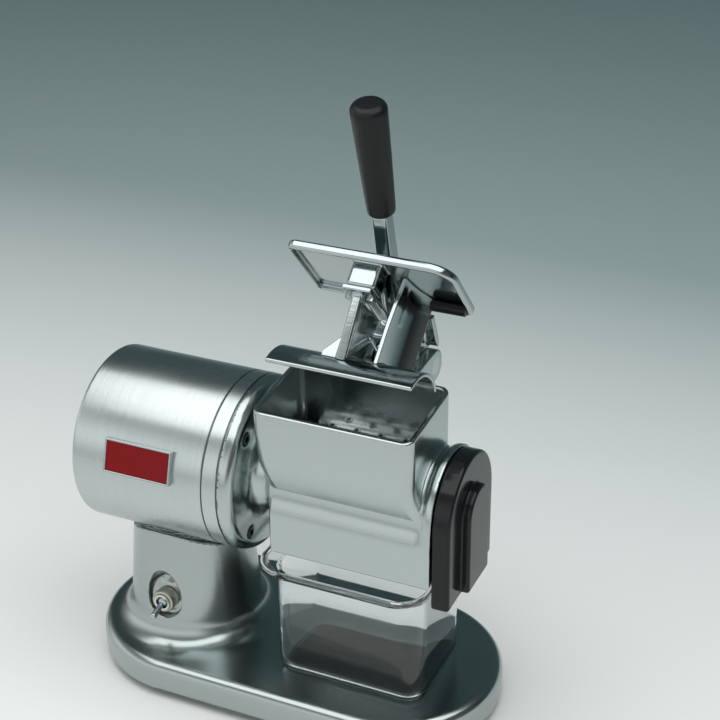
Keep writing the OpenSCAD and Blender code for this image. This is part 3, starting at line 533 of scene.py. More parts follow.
# %% Grating body
def grating_body(p):
    """Flange, neck, housing, rim, chute, hopper and ears in one casting."""
    x, y, z = p[..., 0], p[..., 1], p[..., 2]
    start, end = body_lo[0], body_hi[0]
    disc = meet(FLANGE_ROUND, np.hypot(y, z - AXIS) - MOTOR_R, x - start - FLANGE_T)
    flange = meet(0.5, disc, start - x)
    neck = rod_x(p, 0, AXIS, NECK_R, start + 5, HOPPER_X0 + 9, 1)
    housing = rod_x(p, 0, AXIS, HOUSING_R, HOPPER_X0 + 5, end, 0.8)
    rim = rod_x(p, 0, AXIS, HOUSING_R + RIM_OUT, end - RIM_L, end, 0.8)
    solid = join(1.2, hopper_form(p), join(4, housing, chute_form(p)))
    solid = join(9, solid, rim)
    solid = meet(0.8, join(6, solid, join(12, flange, neck)), x - end, start - x)
    solid = join(3, solid, *hinge_ears(p))
    return carve(0.6, carve(0.9, solid, *body_openings(p)), screw_sinks(p))


add_cast(grating_body, "grating_body", 1.25, "cast_aluminium")

# %% [markdown]
# ## Pedestal
# The oval base and the column are cast together, with a bright hollow round the foot
# of the column and a teardrop pocket that shelters the switch.
# A lathe could make the column and an outline the base, but not the soft hollow between
# them, so the pedestal is a field as well.

# %% Pedestal sizes and switch pocket
foot_lo, foot_hi = size_of("pedestal")
BASE_R, BASE_HALF = (foot_hi[1] - foot_lo[1]) / 2, foot_hi[0]
BASE_TOP, BASE_ROUND = foot_lo[2] + 21, 7.0
COLUMN_X, COLUMN_R, COLUMN_TAPER, TAPER_H = -81.0, 47.5, 6.5, 75.0
COLUMN_FILLET, SEAT_R = 17.0, 35.0
POCKET_R, POCKET_TILT = 13.0, math.radians(38)
SWITCH, SWITCH_TILT = (COLUMN_X - 1, -37.5, 57), math.radians(86)


def switch_pocket(p):
    """A round hollow at the switch and a smaller one that leans up from it."""
    dx, dy, dz = (p[..., i] - SWITCH[i] for i in range(3))
    c, s = math.cos(SWITCH_TILT), math.sin(SWITCH_TILT)
    up, out = dy * c + dz * s, dz * c - dy * s
    c, s = math.cos(POCKET_TILT), math.sin(POCKET_TILT)
    lean_up, lean_out = (up - 6) * c - (out - 3) * s, (up - 6) * s + (out - 3) * c
    lower = meet(2, np.hypot(dx, up) - POCKET_R, -out)
    upper = meet(2, np.hypot(dx, lean_up) - POCKET_R + 1.5, -lean_out)
    return join(5, lower, upper)


# %% Base and column
def pedestal(p):
    """The oval base, the column and the seat on which the motor lies."""
    x, y, z = p[..., 0], p[..., 1], p[..., 2]
    oval = np.hypot(np.maximum(np.abs(x) - BASE_HALF + BASE_R, 0), y) - BASE_R
    base = meet(0.8, meet(BASE_ROUND, oval, z - BASE_TOP), foot_lo[2] - z)
    around = np.hypot(x - COLUMN_X, y)
    taper = COLUMN_R - COLUMN_TAPER * np.clip((z - BASE_TOP) / TAPER_H, 0, 1.3)
    # The taper makes the wall slope, so its value is scaled to stay a distance
    column = meet(1, (around - taper) * 0.996, z - AXIS + 30, BASE_TOP - 8 - z)
    motor = np.hypot(y, z - AXIS) - MOTOR_R
    solid = carve(1.2, join(COLUMN_FILLET, base, column), motor - 3)
    seat = meet(0.4, around - SEAT_R, BASE_TOP + 20 - z, -motor)
    return np.minimum(carve(1.4, solid, switch_pocket(p)), seat)


# The pedestal takes the darker copy of the casting finish, which is painted shade
add_cast(pedestal, "pedestal", 1.5, "cast_aluminium", look="stand_aluminium_painted_shade")

# %% [markdown]
# ## Press lever
# The lever is cast with ribs, polished bright and bolted to the guard plate.
# Its pieces are drawn with the lever closed and turned up about the pivot, as on the
# real machine, so each field first turns the point back down.
# Thin plates are outlines with a thickness here, which is quick to write and to change.

# %% Sizes of the lever
RAISED = math.radians(48)
ARM_X = HOPPER_X0 + 56
BOSS_X = ARM_X - 5
HUB_X0, HUB_R, HUB_BORE_R = HOPPER_X0 + 41, 10.8, 7.0
REAR_X0, REAR_X1 = HOPPER_X0 + 70.5, HOPPER_X0 + 73.5
BACK_X0 = HOPPER_X0 + 41.5
CHEEK_R, CHEEK_T, CHEEK_FRONT = 51.0, 3.0, -18.0
LID_TOP, LID_SKIRT, LID_T = PIVOT_Z + 31, 6.5, 3.0
LID_FRONT, LID_REAR = -40.0, 26.5
WEB_TOP, WEB_LOW = LID_TOP - 7, AXIS + 27
HEAD_Z, OVER_Z = PIVOT_Z + 7, PIVOT_Z + 13.5
STEM_TURN, STEM_L = math.radians(152.4), 121.5
SHOE_R, SHOE_HALF_T, SHOE_ROOM_R = 32.5, 1.5, 34.1
SHOE_ENDS = ((math.radians(64), 1), (math.radians(156), -1))
REAR_EDGE = [
    (12.5, OVER_Z - 14), (14.5, OVER_Z), (HOPPER_REAR + 6, OVER_Z + 0.5), (PIVOT_Y - 8, PIVOT_Z - 4),
    (PIVOT_Y, PIVOT_Z), (PIVOT_Y - 2, PIVOT_Z + 10), (32.5, WEB_TOP),
]
print(f"lever raised by {math.degrees(RAISED):.0f} degrees, stem {STEM_L} mm long")


# %% Plates of the lever
def lowered(p):
    """The same point with the lever closed."""
    y, z = p[..., 1] - PIVOT_Y, p[..., 2] - PIVOT_Z
    c, s = math.cos(RAISED), math.sin(RAISED)
    return np.stack((p[..., 0], PIVOT_Y + y * c - z * s, PIVOT_Z + y * s + z * c), -1)


def lever_web(p):
    """The upright web with a rib at its front and a flange across its head."""
    web_line = [(-28, HEAD_Z + 1), (-21, WEB_LOW), (6, WEB_LOW)] + REAR_EDGE
    web_line += [(-8, WEB_TOP), (-9.5, HEAD_Z + 1)]
    web = plate_x(p, web_line, BOSS_X - 2.4, BOSS_X + 2.4, 0.8)
    rib_line = [(-30, HEAD_Z), (-23, AXIS + 26), (-18.5, AXIS + 26), (-24, HEAD_Z)]
    rib = plate_x(p, rib_line, BOSS_X - 3.2, BOSS_X + 3.2, 1.5)
    flange = block(p, (BOSS_X - 10, -33.2, HEAD_Z - 0.4), (BOSS_X + 9.5, 12, HEAD_Z + 3), 0.9)
    return join(3, join(1.2, web, rib), flange)


def lever_rear(p):
    """The rear plate, the flared cheek in front of it and the plate across their back."""
    x, y, z = p[..., 0], p[..., 1], p[..., 2]
    rear_line = [(-6, WEB_TOP), (-6, OVER_Z - 14)] + REAR_EDGE
    rear = plate_x(p, rear_line, REAR_X0, REAR_X1, 0.8)
    sweep = np.hypot(x - REAR_X1 - CHEEK_R, y - CHEEK_FRONT) - CHEEK_R
    edge = (AXIS + 58 - z) * -0.124 - (y - CHEEK_FRONT) * 0.992
    ends = (CHEEK_FRONT - y, y - 15, z - LID_TOP + 3.1, WEB_LOW - z)
    cheek = meet(0.8, -sweep, sweep - CHEEK_T, edge, *ends)
    back_line = [
        (PIVOT_Y - 4, PIVOT_Z + 13), (PIVOT_Y - 9, PIVOT_Z + 16.5), (32.5, LID_TOP - 6.8),
        (30, LID_TOP - 11), (PIVOT_Y - 11, PIVOT_Z + 12.3), (PIVOT_Y - 5.5, PIVOT_Z + 12),
    ]
    back = plate_x(p, back_line, BACK_X0, HOPPER_X0 + 81, 0.8)
    return join(3, rear, cheek, back)


def lever_braces(p):
    """The wall under the guard plate, a small foot and a thin brace to the rear plate."""
    x, y, z = p[..., 0], p[..., 1], p[..., 2]
    wall = block(p, (BACK_X0, 25.5, PIVOT_Z), (HOPPER_X0 + 72, 28.5, LID_TOP - 9), 0.8)
    foot_slope = (x - BOSS_X + 4) * -0.761 + (z - AXIS - 42) * 0.65
    foot = meet(0.8, foot_slope, x - BOSS_X, AXIS + 24 - z, np.abs(y + 20) - 1.6)
    sheet = np.abs((x - BOSS_X - 2) * 0.72 + (z - AXIS - 54) * 0.69) - 0.9
    brace = meet(0.6, sheet, 5 - y, y - 11, BOSS_X - x, x - HOPPER_X0 - 72, AXIS + 24 - z)
    return wall, foot, brace


def lever_stem(p):
    """The flat bar that carries the grip, a little thinner towards its end."""
    y, z = p[..., 1] - PIVOT_Y, p[..., 2] - PIVOT_Z
    c, s = math.cos(STEM_TURN), math.sin(STEM_TURN)
    along, across = y * c + z * s, z * c - y * s
    thick = np.abs(across) - 8 + 0.02 * along
    return meet(1.6, np.abs(p[..., 0] - ARM_X) - 5, thick, -along, along - STEM_L)


# %% Press arm
def press_arm(p):
    """Web, plates, braces, hub and stem in one casting, cut clear of the shoe."""
    p = lowered(p)
    solid = join(1.2, lever_web(p), lever_rear(p), *lever_braces(p))
    hub = rod_x(p, PIVOT_Y, PIVOT_Z, HUB_R, HUB_X0, REAR_X1, 1)
    solid = join(3, solid, hub, lever_stem(p))
    shoe_room = np.hypot(p[..., 1], p[..., 2] - AXIS) - SHOE_ROOM_R
    bore = rod_x(p, PIVOT_Y, PIVOT_Z, HUB_BORE_R, HOPPER_X0, HOPPER_X0 + 90, 0.2)
    return carve(0.6, solid, shoe_room, bore)


add_cast(press_arm, "press_arm", 0.8, "polished_metal", spare=(6, 0, 0))


# %% Guard plate and shoe
def lid_plate(p):
    """A plate with a turned down edge, a boss for the screws and a notch for the stem."""
    p = lowered(p)
    x, y, z = p[..., 0], p[..., 1], p[..., 2]
    left, right = HOPPER_X0 - 2 - x, x - (HOPPER_X1 + 1)
    front, rear = LID_FRONT - y, y - LID_REAR
    edge = np.maximum(meet(6, left, right, front, rear), meet(17, right, front))
    plate = meet(2.4, edge, z - LID_TOP, LID_TOP - LID_SKIRT - z)
    tray = meet(1.2, edge + LID_T, z - LID_TOP + LID_T)
    boss = block(p, (BOSS_X - 9.5, -31, PIVOT_Z + 10.2), (BOSS_X + 9.5, -12, LID_TOP - 1), 3)
    solid = join(3, carve(0.8, plate, tray), boss)
    notch = block(p, (ARM_X - 6, -15, LID_TOP - 9), (ARM_X + 6, LID_REAR + 5, LID_TOP + 5), 1)
    return carve(0.6, solid, notch)


def press_shoe(p):
    """A curved plate about the drum's axis, cut off at two angles."""
    p = lowered(p)
    x, y, z = p[..., 0], p[..., 1], p[..., 2] - AXIS
    sheet = np.abs(np.hypot(y, z) - SHOE_R) - SHOE_HALF_T
    ends = [hand * (y * math.sin(a) - z * math.cos(a)) for a, hand in SHOE_ENDS]
    return meet(1.1, sheet, *ends, HOPPER_X0 + 6 - x, x - HOPPER_X1 + 4.5)


add_cast(lid_plate, "lid_plate", 0.9, "polished_metal")
add_cast(press_shoe, "press_shoe", 0.9, "polished_metal")

# %% [markdown]
# ## End cover
# The cover is a black moulding with generous edges, and a raised tongue to pull it by.
# An outline with a bevel would come close, but the tongue grows out of the face with
# a small fillet, so the field is used once more.

# %% End cover
cover_lo, cover_hi = size_of("end_cover")
COVER_BACK, COVER_FACE, COVER_TOP = cover_hi[0] - 18, cover_hi[0] - 6, cover_hi[0]
COVER_HALF, TONGUE_HALF = cover_hi[1], 18.0
SPIGOT_R, CUP_R, BUSH_BOSS_R, BUSH_R = 31.6, 28.6, 12.0, 9.0


def upright(p, half):
    """An upright outline of a given half width, round at its top about the drum's axis."""
    y, z = p[..., 1], p[..., 2]
    return np.where(z > AXIS, np.hypot(y, z - AXIS), np.abs(y)) - half


def end_cover(p):
    """The cover with its tongue, the spigot in the housing and the seat of the bush."""
    x, z = p[..., 0], p[..., 2]
    plate = meet(2.4, upright(p, COVER_HALF), x - COVER_FACE, cover_lo[2] - z)
    shell = meet(1.0, plate, COVER_BACK - x)
    tongue = meet(2.0, upright(p, TONGUE_HALF), x - COVER_TOP, cover_lo[2] + 3 - z, COVER_FACE - 3 - x)
    spigot = rod_x(p, 0, AXIS, SPIGOT_R, cover_lo[0], COVER_BACK + 1, 0.8)
    solid = np.minimum(join(1.5, shell, tongue), spigot)
    boss = rod_x(p, 0, AXIS, BUSH_BOSS_R, COVER_BACK - 3, COVER_FACE, 0.5)
    bush = rod_x(p, 0, AXIS, BUSH_R, COVER_BACK - 9, COVER_BACK + 9, 0.4)
    cup = rod_x(p, 0, AXIS, CUP_R, cover_lo[0] - 9, COVER_FACE - 4, 0.8)
    return np.minimum(carve(0.8, solid, cup), carve(0.5, boss, bush))


add_cast(end_cover, "end_cover", 0.9, "gloss_black", ending="_moulded")

# %% [markdown]
# ## Turned pieces
# The motor shell is turned on a lathe, which leaves fine rings and a rounded closed end.
# The grip and the nut of the switch are turned too, so all of them are profiles spun
# about their axis.


# %% Motor and ring
SEAM, END_ROUND, RING_BORE_R, MOTOR_STEPS = 2.5, 3.2, 30.0, 160


def add_turned(node, profile, centre, axis, material, steps=96, look=None):
    """Turns a profile about an axis in place of a plain piece."""
    name = node + "_turned"
    return add_piece(name, lathe(name, profile, centre, axis, steps), material, node, look=look)


def seam_end(length):
    """The end of a turned shell, stepped in so that a dark seam shows."""
    return [
        (MOTOR_R, length - 1.2), (MOTOR_R - 0.3, length - 0.9),
        (MOTOR_R - SEAM, length - 0.85), (MOTOR_R - SEAM, length),
    ]


shell_l = motor_hi[0] - motor_lo[0]
shell = [(0, 0.0), (20, 0.0), (20.8, 0.5), (21.6, 0.0), (MOTOR_R - END_ROUND, 0.0)]
shell += round_corner((MOTOR_R - END_ROUND, END_ROUND), END_ROUND, -90, 0, 10)
shell += seam_end(shell_l) + [(0, shell_l)]
motor_end = (motor_lo[0] * MM, 0, AXIS * MM)
add_turned("motor_shell", shell, motor_end, (1, 0, 0), "brushed_aluminium", MOTOR_STEPS)

ring_lo, ring_hi = size_of("front_shield")
ring_l = ring_hi[0] - ring_lo[0]
ring = [(RING_BORE_R, 0.0), (MOTOR_R - SEAM, 0.0), (MOTOR_R - SEAM, 0.1)]
ring += [(MOTOR_R - 0.3, 0.12), (MOTOR_R, 0.4)]
ring += seam_end(ring_l) + [(RING_BORE_R, ring_l), (RING_BORE_R, 0.0)]
ring_end = (ring_lo[0] * MM, 0, AXIS * MM)
add_turned("front_shield", ring, ring_end, (1, 0, 0), "brushed_aluminium", MOTOR_STEPS)

# %% Grip and switch nut
turn = STEM_TURN - RAISED
lean = Vector((0, math.cos(turn), math.sin(turn)))
grip_foot = Vector((ARM_X, PIVOT_Y, PIVOT_Z)) * MM + lean * (STEM_L * MM)
GRIP_BORE_R, GRIP_BORE_L, GRIP_STEPS = 4.6, 32, 14
grip = [(0, GRIP_BORE_L), (GRIP_BORE_R, GRIP_BORE_L), (GRIP_BORE_R, 0.3), (7.4, 0.3)]
grip += round_corner((7.4, 1.9), 1.6, -90, -10, 5)
grip += [(9.1 + 2.4 * t ** 0.9, 3 + 70 * t) for t in [k / GRIP_STEPS for k in range(GRIP_STEPS + 1)]]
grip += round_corner((6.5, 74.0), 5.0, 0, 90, 9)[1:] + [(3.5, 79.15), (0, 79.2)]
add_turned("lever_grip", grip, grip_foot, lean, "satin_black")

SWITCH_AXIS = Vector((0, -math.sin(SWITCH_TILT), math.cos(SWITCH_TILT)))
NUT_BORE_R, NUT_R, NUT_H = 6.02, 8.2, 8.5
nut = [(NUT_BORE_R, 0.0), (8.0, 0.0), (NUT_R, 0.3), (NUT_R, 7.4), (7.9, 8.1)]
nut += [(7.2, NUT_H), (6.5, NUT_H), (NUT_BORE_R, 8.1), (NUT_BORE_R, 0.0)]
add_turned("switch_nut", nut, Vector(SWITCH) * MM, SWITCH_AXIS, "polished_metal", look="nickel")

# %% [markdown]
# ## Container
# The drawer is pressed from clear plastic with thin walls and a broad lip, so it is
# lofted: rounded outlines are stacked up the outside, over the lip and down the inside.


# %% Stacked outlines
def rounded_ring(x0, x1, y0, y1, r, z, steps=10):
    """A rounded rectangle at one height."""
    corners = ((x1 - r, y1 - r, 0), (x0 + r, y1 - r, 90), (x0 + r, y0 + r, 180), (x1 - r, y0 + r, 270))
    ring = []
    for cx, cy, start in corners:
        for i in range(steps + 1):
            a = math.radians(start + 90 * i / steps)
            ring.append(Vector((cx + r * math.cos(a), cy + r * math.sin(a), z)) * MM)
    return ring


def loft(name, rings, angle=40):
    """Skins rings of equal count and closes both ends."""
    edit = bmesh.new()
    rows = [[edit.verts.new(v) for v in ring] for ring in rings]
    for one, two in zip(rows, rows[1:]):
        for i in range(len(one)):
            j = (i + 1) % len(one)
            edit.faces.new((one[i], one[j], two[j], two[i]))
    edit.faces.new(rows[0][::-1])
    edit.faces.new(rows[-1])
    bmesh.ops.recalc_face_normals(edit, faces=edit.faces)
    mesh = bpy.data.meshes.new(name)
    edit.to_mesh(mesh)
    edit.free()
    smooth_faces(mesh, angle)
    return mesh


# %% Container
box_lo, box_hi = size_of("container")
LIP_BOX = (box_lo[0], box_hi[0], box_lo[1], box_hi[1])
WALL_BOX = (box_lo[0] + 13, box_hi[0] - 0.5, box_lo[1] + 4, box_hi[1] - 4)
LIP_ROUND, WALL_ROUND, LIP_BOW = 20.0, 14.0, 3.0
FLOOR_Z, LIP_Z = box_lo[2], box_hi[2]


def inset_ring(box, r, inset, z):
    """The rounded outline of a box at one height, moved in by an inset."""
    x0, x1, y0, y1 = box
    return rounded_ring(x0 + inset, x1 - inset, y0 + inset, y1 - inset, r - inset, z)


# %% Lip and walls
def lip_ring(inset, z):
    """One line of the lip, its front bowed out a little."""
    ring = inset_ring(LIP_BOX, LIP_ROUND, inset, z)
    middle, half = (box_lo[0] + box_hi[0]) / 2, (box_hi[0] - box_lo[0]) / 2
    for v in ring:
        if v.y < 0:
            v.y -= LIP_BOW * MM * max(0, 1 - ((v.x / MM - middle) / half) ** 2)
    return ring


def wall_rings(base, line):
    """Lines of the wall, each given by its inset and its height over a base."""
    return [inset_ring(WALL_BOX, WALL_ROUND, inset, base + z) for inset, z in line]


outer_foot = [(5, 0), (2.5, 0.3), (0.8, 1.6), (0.05, 4), (0, 8)]
outer_top = [(0, -5.2), (-0.6, -4.2)]
lip_under = [(3.6, -4.0), (1.6, -4.6), (0.5, -4.0), (0, -2.8), (0, -1.8)]
lip_over = [(0.5, -0.7), (1.4, -0.1), (2.3, 0), (3.2, -0.5), (3.8, -1.4), (4.2, -2.2)]
inner_top = [(-0.4, -2.4), (1.2, -2.6), (2.0, -3.2)]
inner_foot = [(2.0, 9), (2.1, 6), (3.2, 3.6), (5.5, 2.6)]
stack = wall_rings(FLOOR_Z, outer_foot) + wall_rings(LIP_Z, outer_top)
stack += [lip_ring(inset, LIP_Z + z) for inset, z in lip_under + lip_over]
stack += wall_rings(LIP_Z, inner_top) + wall_rings(FLOOR_Z, inner_foot)
add_piece("container_pressed", loft("container_pressed", stack), "clear_plastic", "container")

# %% [markdown]
# ## Screws of the flange
# The same socket head screw sits four times round the flange, so it is made once and
# repeated with geometry nodes: a tree places copies of one form at points, and the
# result is kept as a plain mesh.


# %% Repeating tools
def node_tree(name, sockets):
    """A geometry tree with named inputs and a mesh output."""
    tree = bpy.data.node_groups.new(name, "GeometryNodeTree")
    tree.interface.new_socket("Geometry", in_out="INPUT", socket_type="NodeSocketGeometry")
    for label, kind in sockets:
        tree.interface.new_socket(label, in_out="INPUT", socket_type=kind)
    tree.interface.new_socket("Geometry", in_out="OUTPUT", socket_type="NodeSocketGeometry")
    return tree, tree.nodes.new("NodeGroupInput"), tree.nodes.new("NodeGroupOutput")


def grow(name, seed_mesh, tree, values):
    """Runs a tree on a seed mesh and keeps what it makes."""
    host = bpy.data.objects.new(name + "_seed", seed_mesh)
    scene.collection.objects.link(host)
    modifier = host.modifiers.new("grow", "NODES")
    modifier.node_group = tree
    sockets = {s.name: s.identifier for s in tree.interface.items_tree if s.in_out == "INPUT"}
    for label, value in values.items():
        modifier[sockets[label]] = value
    graph = bpy.context.evaluated_depsgraph_get()
    mesh = bpy.data.meshes.new_from_object(host.evaluated_get(graph))
    mesh.name = name
    bpy.data.objects.remove(host)
    return mesh


# %% Socket head screws
def socket_screw(name, radius, height, socket, edge=0.5, steps=48):
    """A screw head with a hexagon socket, standing along Z from the origin."""
    turns = [2 * math.pi * i / steps for i in range(steps)]
    flats = [socket / math.cos((a + math.pi / 6) % (math.pi / 3) - math.pi / 6) for a in turns]
    full, small = [radius] * steps, [radius - edge] * steps
    rows = [(full, 0), (full, height - edge), (small, height), (flats, height), (flats, height * 0.35)]
    rings = []
    for reaches, z in rows:
        rings.append([Vector((r * math.cos(a), r * math.sin(a), z)) * MM for r, a in zip(reaches, turns)])
    return bpy.data.objects.new(name, loft(name, rings, 35))


# %% Screws round the flange
def placed_copies(name, form, places, facing, material):
    """Copies of a form at places, each turned to face one way."""
    sockets = [
        ("Form", "NodeSocketObject"),
        ("Facing", "NodeSocketVector"),
        ("Finish", "NodeSocketMaterial"),
    ]
    tree, given, result = node_tree(name + "_tree", sockets)
    info = tree.nodes.new("GeometryNodeObjectInfo")
    aim = tree.nodes.new("FunctionNodeAlignRotationToVector")
    aim.axis = "Z"
    copies = tree.nodes.new("GeometryNodeInstanceOnPoints")
    real = tree.nodes.new("GeometryNodeRealizeInstances")
    paint = tree.nodes.new("GeometryNodeSetMaterial")
    link = tree.links.new
    link(given.outputs["Form"], info.inputs["Object"])
    link(given.outputs["Facing"], aim.inputs["Vector"])
    link(given.outputs["Geometry"], copies.inputs["Points"])
    link(info.outputs["Geometry"], copies.inputs["Instance"])
    link(aim.outputs["Rotation"], copies.inputs["Rotation"])
    link(copies.outputs["Instances"], real.inputs["Geometry"])
    link(real.outputs["Geometry"], paint.inputs["Geometry"])
    link(given.outputs["Finish"], paint.inputs["Material"])
    link(paint.outputs["Geometry"], result.inputs["Geometry"])
    seed = bpy.data.meshes.new(name + "_points")
    seed.from_pydata([Vector(q) * MM for q in places], [], [])
    mesh = grow(name, seed, tree, {"Form": form, "Facing": facing, "Finish": MATERIALS[material]})
    smooth_faces(mesh)
    return mesh


SCREW_HEAD_R, SCREW_HEAD_H, SOCKET_R = 4.25, 5.0, 2.2
head_x = size_of("flange_screws")[1][0] - SCREW_HEAD_H
head = socket_screw("flange_screw_form", SCREW_HEAD_R, SCREW_HEAD_H, SOCKET_R)
places = [(head_x, BOLT_R * math.cos(a), AXIS + BOLT_R * math.sin(a)) for a in BOLT_TURNS]
screws = placed_copies("flange_screws_set", head, places, (1, 0, 0), "dark_steel")
add_piece("flange_screws_set", screws, "dark_steel", "flange_screws")

# %% [markdown]
# ## Plain pieces that only need soft edges
# Castings leave the mould with small radii and mouldings have larger ones.
# A bevel along each real edge gives the line of light that tells metal from paper,
# so each piece gets the radius its process leaves.

# %% Soft edges
SLOT_OF = {s["node"]: s["material_slot"] for s in frame["record"]["subparts"]}
SOFT = {
    "bottom_plate": 0.3,
    "rubber_feet": 0.6,
    "badge_frame": 0.6,
    "badge_plate": 0.4,
    "switch_lever": 0.6,
    "cord_gland": 0.6,
    "bumper_rod": 0.6,
    "pivot_pin": 0.5,
    "pivot_ring": 0.2,
    "hub_bushes": 0.3,
    "cover_bush": 0.3,
    "drive_cap": 0.4,
    "end_cap": 0.4,
    "grating_drum": 0.1,
    "lid_screws": 0.3,
    "bottom_screws": 0.3,
}
LOOKS = {"lid_screws": "polished_metal"}
STEPS = {"grating_drum": 1}
for node, width in SOFT.items():
    piece = add_piece(node + "_piece", clean_copy(node), SLOT_OF[node], node, look=LOOKS.get(node))
    soften(piece, width, STEPS.get(node, 3))
print("soft edges on", len(SOFT), "pieces")

# %% [markdown]
# ## Hidden pieces
# The motor's inside and the wiring are never seen, so the plain pieces stay and only
# take the finish of their material.

# %% Finish the hidden pieces
hidden = [node for node, plain in frame["nodes"].items() if not plain.hide_render]
for node in hidden:
    plain = frame["nodes"][node]
    plain.data.materials.clear()
    plain.data.materials.append(MATERIALS[SLOT_OF[node]])
print("plain pieces kept:", ", ".join(hidden))

# %% [markdown]
# ## Studio
# The floor is pale and curves up behind the machine, and two large soft boxes light it; its colour
# darkens towards the top of the backdrop as painted shade.
# Bare metal only shows what stands around it, so the surroundings run from a dark
# ceiling to a bright band over the horizon, which gives the bands of the real finish.
# The second box only lights, and the metal doesn't mirror it.


# %% Floor
FLOOR_HALF, FLOOR_FRONT, FLOOR_DROP = 2.6, -2.2, 0.0002
BEND_Y, BEND_R, BACKDROP_TOP = 0.75, 0.6, 2.4


def studio_floor():
    """A pale floor that bends up into a backdrop."""
    profile = [(FLOOR_FRONT, 0.0), (BEND_Y, 0.0)]
    for a in [math.radians(6 * k) for k in range(1, 16)]:
        profile.append((BEND_Y + BEND_R * math.sin(a), BEND_R - BEND_R * math.cos(a)))
    profile.append((BEND_Y + BEND_R, BACKDROP_TOP))
    edit = bmesh.new()
    sides = (-FLOOR_HALF, FLOOR_HALF)
    rows = [[edit.verts.new((x, y, z - FLOOR_DROP)) for y, z in profile] for x in sides]
    for i in range(len(profile) - 1):
        edit.faces.new((rows[0][i], rows[1][i], rows[1][i + 1], rows[0][i + 1]))
    mesh = bpy.data.meshes.new("studio_floor")
    edit.to_mesh(mesh)
    edit.free()
    smooth_faces(mesh, 60)
    floor = bpy.data.objects.new("studio_floor", mesh)
    scene.collection.objects.link(floor)
    mesh.materials.append(backdrop_paper_painted_shade())
    return floor


# %% Backdrop
def backdrop_paper_painted_shade():
    """Pale paper with painted shade, its colour darkening towards the back and up the backdrop."""
    paper = finish(
        "paper_with_painted_shade", (0.80, 0.81, 0.81), metal=0.0, rough=0.8,
        spread=0.05, grain=(60, 60, 60), bump=0.0, tint=0.01,
    )
    tree = paper.node_tree
    place = tree.nodes.new("ShaderNodeTexCoord")
    split = tree.nodes.new("ShaderNodeSeparateXYZ")
    total = tree.nodes.new("ShaderNodeMath")
    # Painted shade: the colour runs from pale paper at the front to dark teal at the top of the backdrop,
    # in place of light falling off
    ramp = tree.nodes.new("ShaderNodeValToRGB")
    marks = ramp.color_ramp.elements
    marks[0].position, marks[0].color = 0.0, (0.80, 0.82, 0.81, 1)
    marks[1].position, marks[1].color = 1.0, (0.05, 0.09, 0.095, 1)
    middle = marks.new(0.45)
    middle.color = (0.31, 0.40, 0.395, 1)
    reach = tree.nodes.new("ShaderNodeMapRange")
    reach.interpolation_type = "SMOOTHSTEP"
    reach.inputs["From Min"].default_value = -0.1
    reach.inputs["From Max"].default_value = 1.7
    tree.links.new(place.outputs["Object"], split.inputs["Vector"])
    tree.links.new(split.outputs["Y"], total.inputs[0])
    tree.links.new(split.outputs["Z"], total.inputs[1])
    tree.links.new(total.outputs["Value"], reach.inputs["Value"])
    tree.links.new(reach.outputs["Result"], ramp.inputs["Fac"])
    tree.links.new(ramp.outputs["Color"], tree.nodes["Principled BSDF"].inputs["Base Color"])
    return paper


# %% Light
def soft_box(name, spot, aim, width, height, watts, mirrored=True):
    """A large soft light at a spot, turned to a point."""
    data = bpy.data.lights.new(name, "AREA")
    data.shape = "RECTANGLE"
    data.size, data.size_y = width, height
    data.energy = watts
    lamp = bpy.data.objects.new(name, data)
    lamp.location = spot
    lamp.rotation_euler = (Vector(aim) - Vector(spot)).to_track_quat("-Z", "Y").to_euler()
    lamp.visible_glossy = mirrored
    scene.collection.objects.link(lamp)
    return lamp


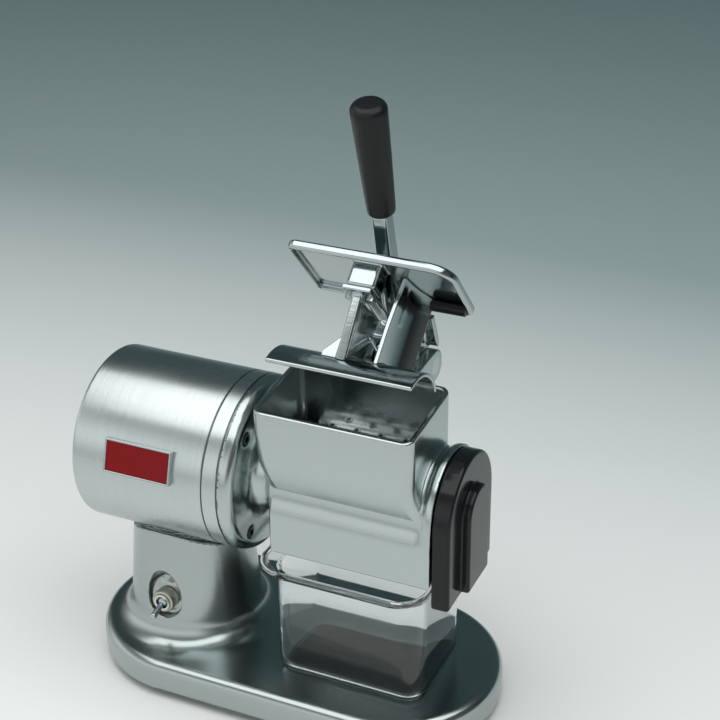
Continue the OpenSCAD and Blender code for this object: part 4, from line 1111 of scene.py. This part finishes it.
# %% Surroundings
def surroundings():
    """Light from the front and the left: dark above, brightest a little over the horizon."""
    world = bpy.data.worlds.new("studio_air")
    scene.world = world
    world.use_nodes = True
    tree = world.node_tree
    place = tree.nodes.new("ShaderNodeTexCoord")
    split = tree.nodes.new("ShaderNodeSeparateXYZ")
    ramp = tree.nodes.new("ShaderNodeValToRGB")
    stops = [(0.0, 0.6), (0.5, 0.5), (0.6, 0.68), (0.7, 0.6), (0.82, 0.2), (1.0, 0.08)]
    marks = ramp.color_ramp.elements
    while len(marks) < len(stops):
        marks.new(0.5)
    for mark, (where, value) in zip(marks, stops):
        mark.position = where
        mark.color = (value * 0.97, value, value, 1)
    half = tree.nodes.new("ShaderNodeMapRange")
    half.inputs["From Min"].default_value = -1
    tree.links.new(place.outputs["Generated"], split.inputs["Vector"])
    tree.links.new(split.outputs["Z"], half.inputs["Value"])
    tree.links.new(half.outputs["Result"], ramp.inputs["Fac"])
    air = tree.nodes["Background"]
    air.inputs["Strength"].default_value = 1.6
    light = ramp.outputs["Color"]
    for side, near, far in (("X", 0.35, 0.85), ("Y", -0.1, 0.5)):
        dim = tree.nodes.new("ShaderNodeMapRange")
        dim.interpolation_type = "SMOOTHSTEP"
        dim.inputs["From Min"].default_value = near
        dim.inputs["From Max"].default_value = far
        dim.inputs["To Min"].default_value = 1.0
        dim.inputs["To Max"].default_value = 0.15
        shade = tree.nodes.new("ShaderNodeMix")
        shade.data_type = "RGBA"
        shade.blend_type = "MULTIPLY"
        shade.inputs["Factor"].default_value = 1.0
        tree.links.new(split.outputs[side], dim.inputs["Value"])
        tree.links.new(light, shade.inputs["A"])
        tree.links.new(dim.outputs["Result"], shade.inputs["B"])
        light = shade.outputs["Result"]
    tree.links.new(light, air.inputs["Color"])


# %% Stage
surroundings()
staged = [
    studio_floor(),
    soft_box("top_box", (0.2, -0.3, 1.5), (0.2, -0.31, 0), 2.6, 1.5, 22),
    soft_box("fill_box", (0.2, 0.1, 1.8), (0.2, -0.1, 0), 2.6, 1.0, 10, mirrored=False),
]
print("studio:", ", ".join(thing.name for thing in staged))

# %% [markdown]
# ## Camera
# The view is the one that was worked out from the picture: its direction, its distance
# and its lens are the values that put the plain model's edges onto the seen ones.

# %% Camera
AZIMUTH, ELEVATION, ROLL = (math.radians(a) for a in (24.55, 27.78, -0.70))
TARGET, DISTANCE, LENS = Vector((0.0495, 0, 0.2517)), 1.013, 80.6
toward = Vector((
    math.sin(AZIMUTH) * math.cos(ELEVATION),
    -math.cos(AZIMUTH) * math.cos(ELEVATION),
    math.sin(ELEVATION),
))
right = Vector((math.cos(AZIMUTH), math.sin(AZIMUTH), 0))
up = toward.cross(right)
side = right * math.cos(ROLL) + up * math.sin(ROLL)
rise = up * math.cos(ROLL) - right * math.sin(ROLL)
lens = bpy.data.cameras.new("photo_view")
lens.sensor_width = 36
lens.lens = LENS
eye = bpy.data.objects.new("photo_view", lens)
spot = TARGET + toward * DISTANCE
eye.matrix_world = Matrix.Translation(spot) @ Matrix((side, rise, toward)).transposed().to_4x4()
scene.collection.objects.link(eye)
scene.camera = eye
scene.view_settings.view_transform = "Standard"
print("camera at", [round(c, 3) for c in spot], "with a lens of", LENS, "mm")
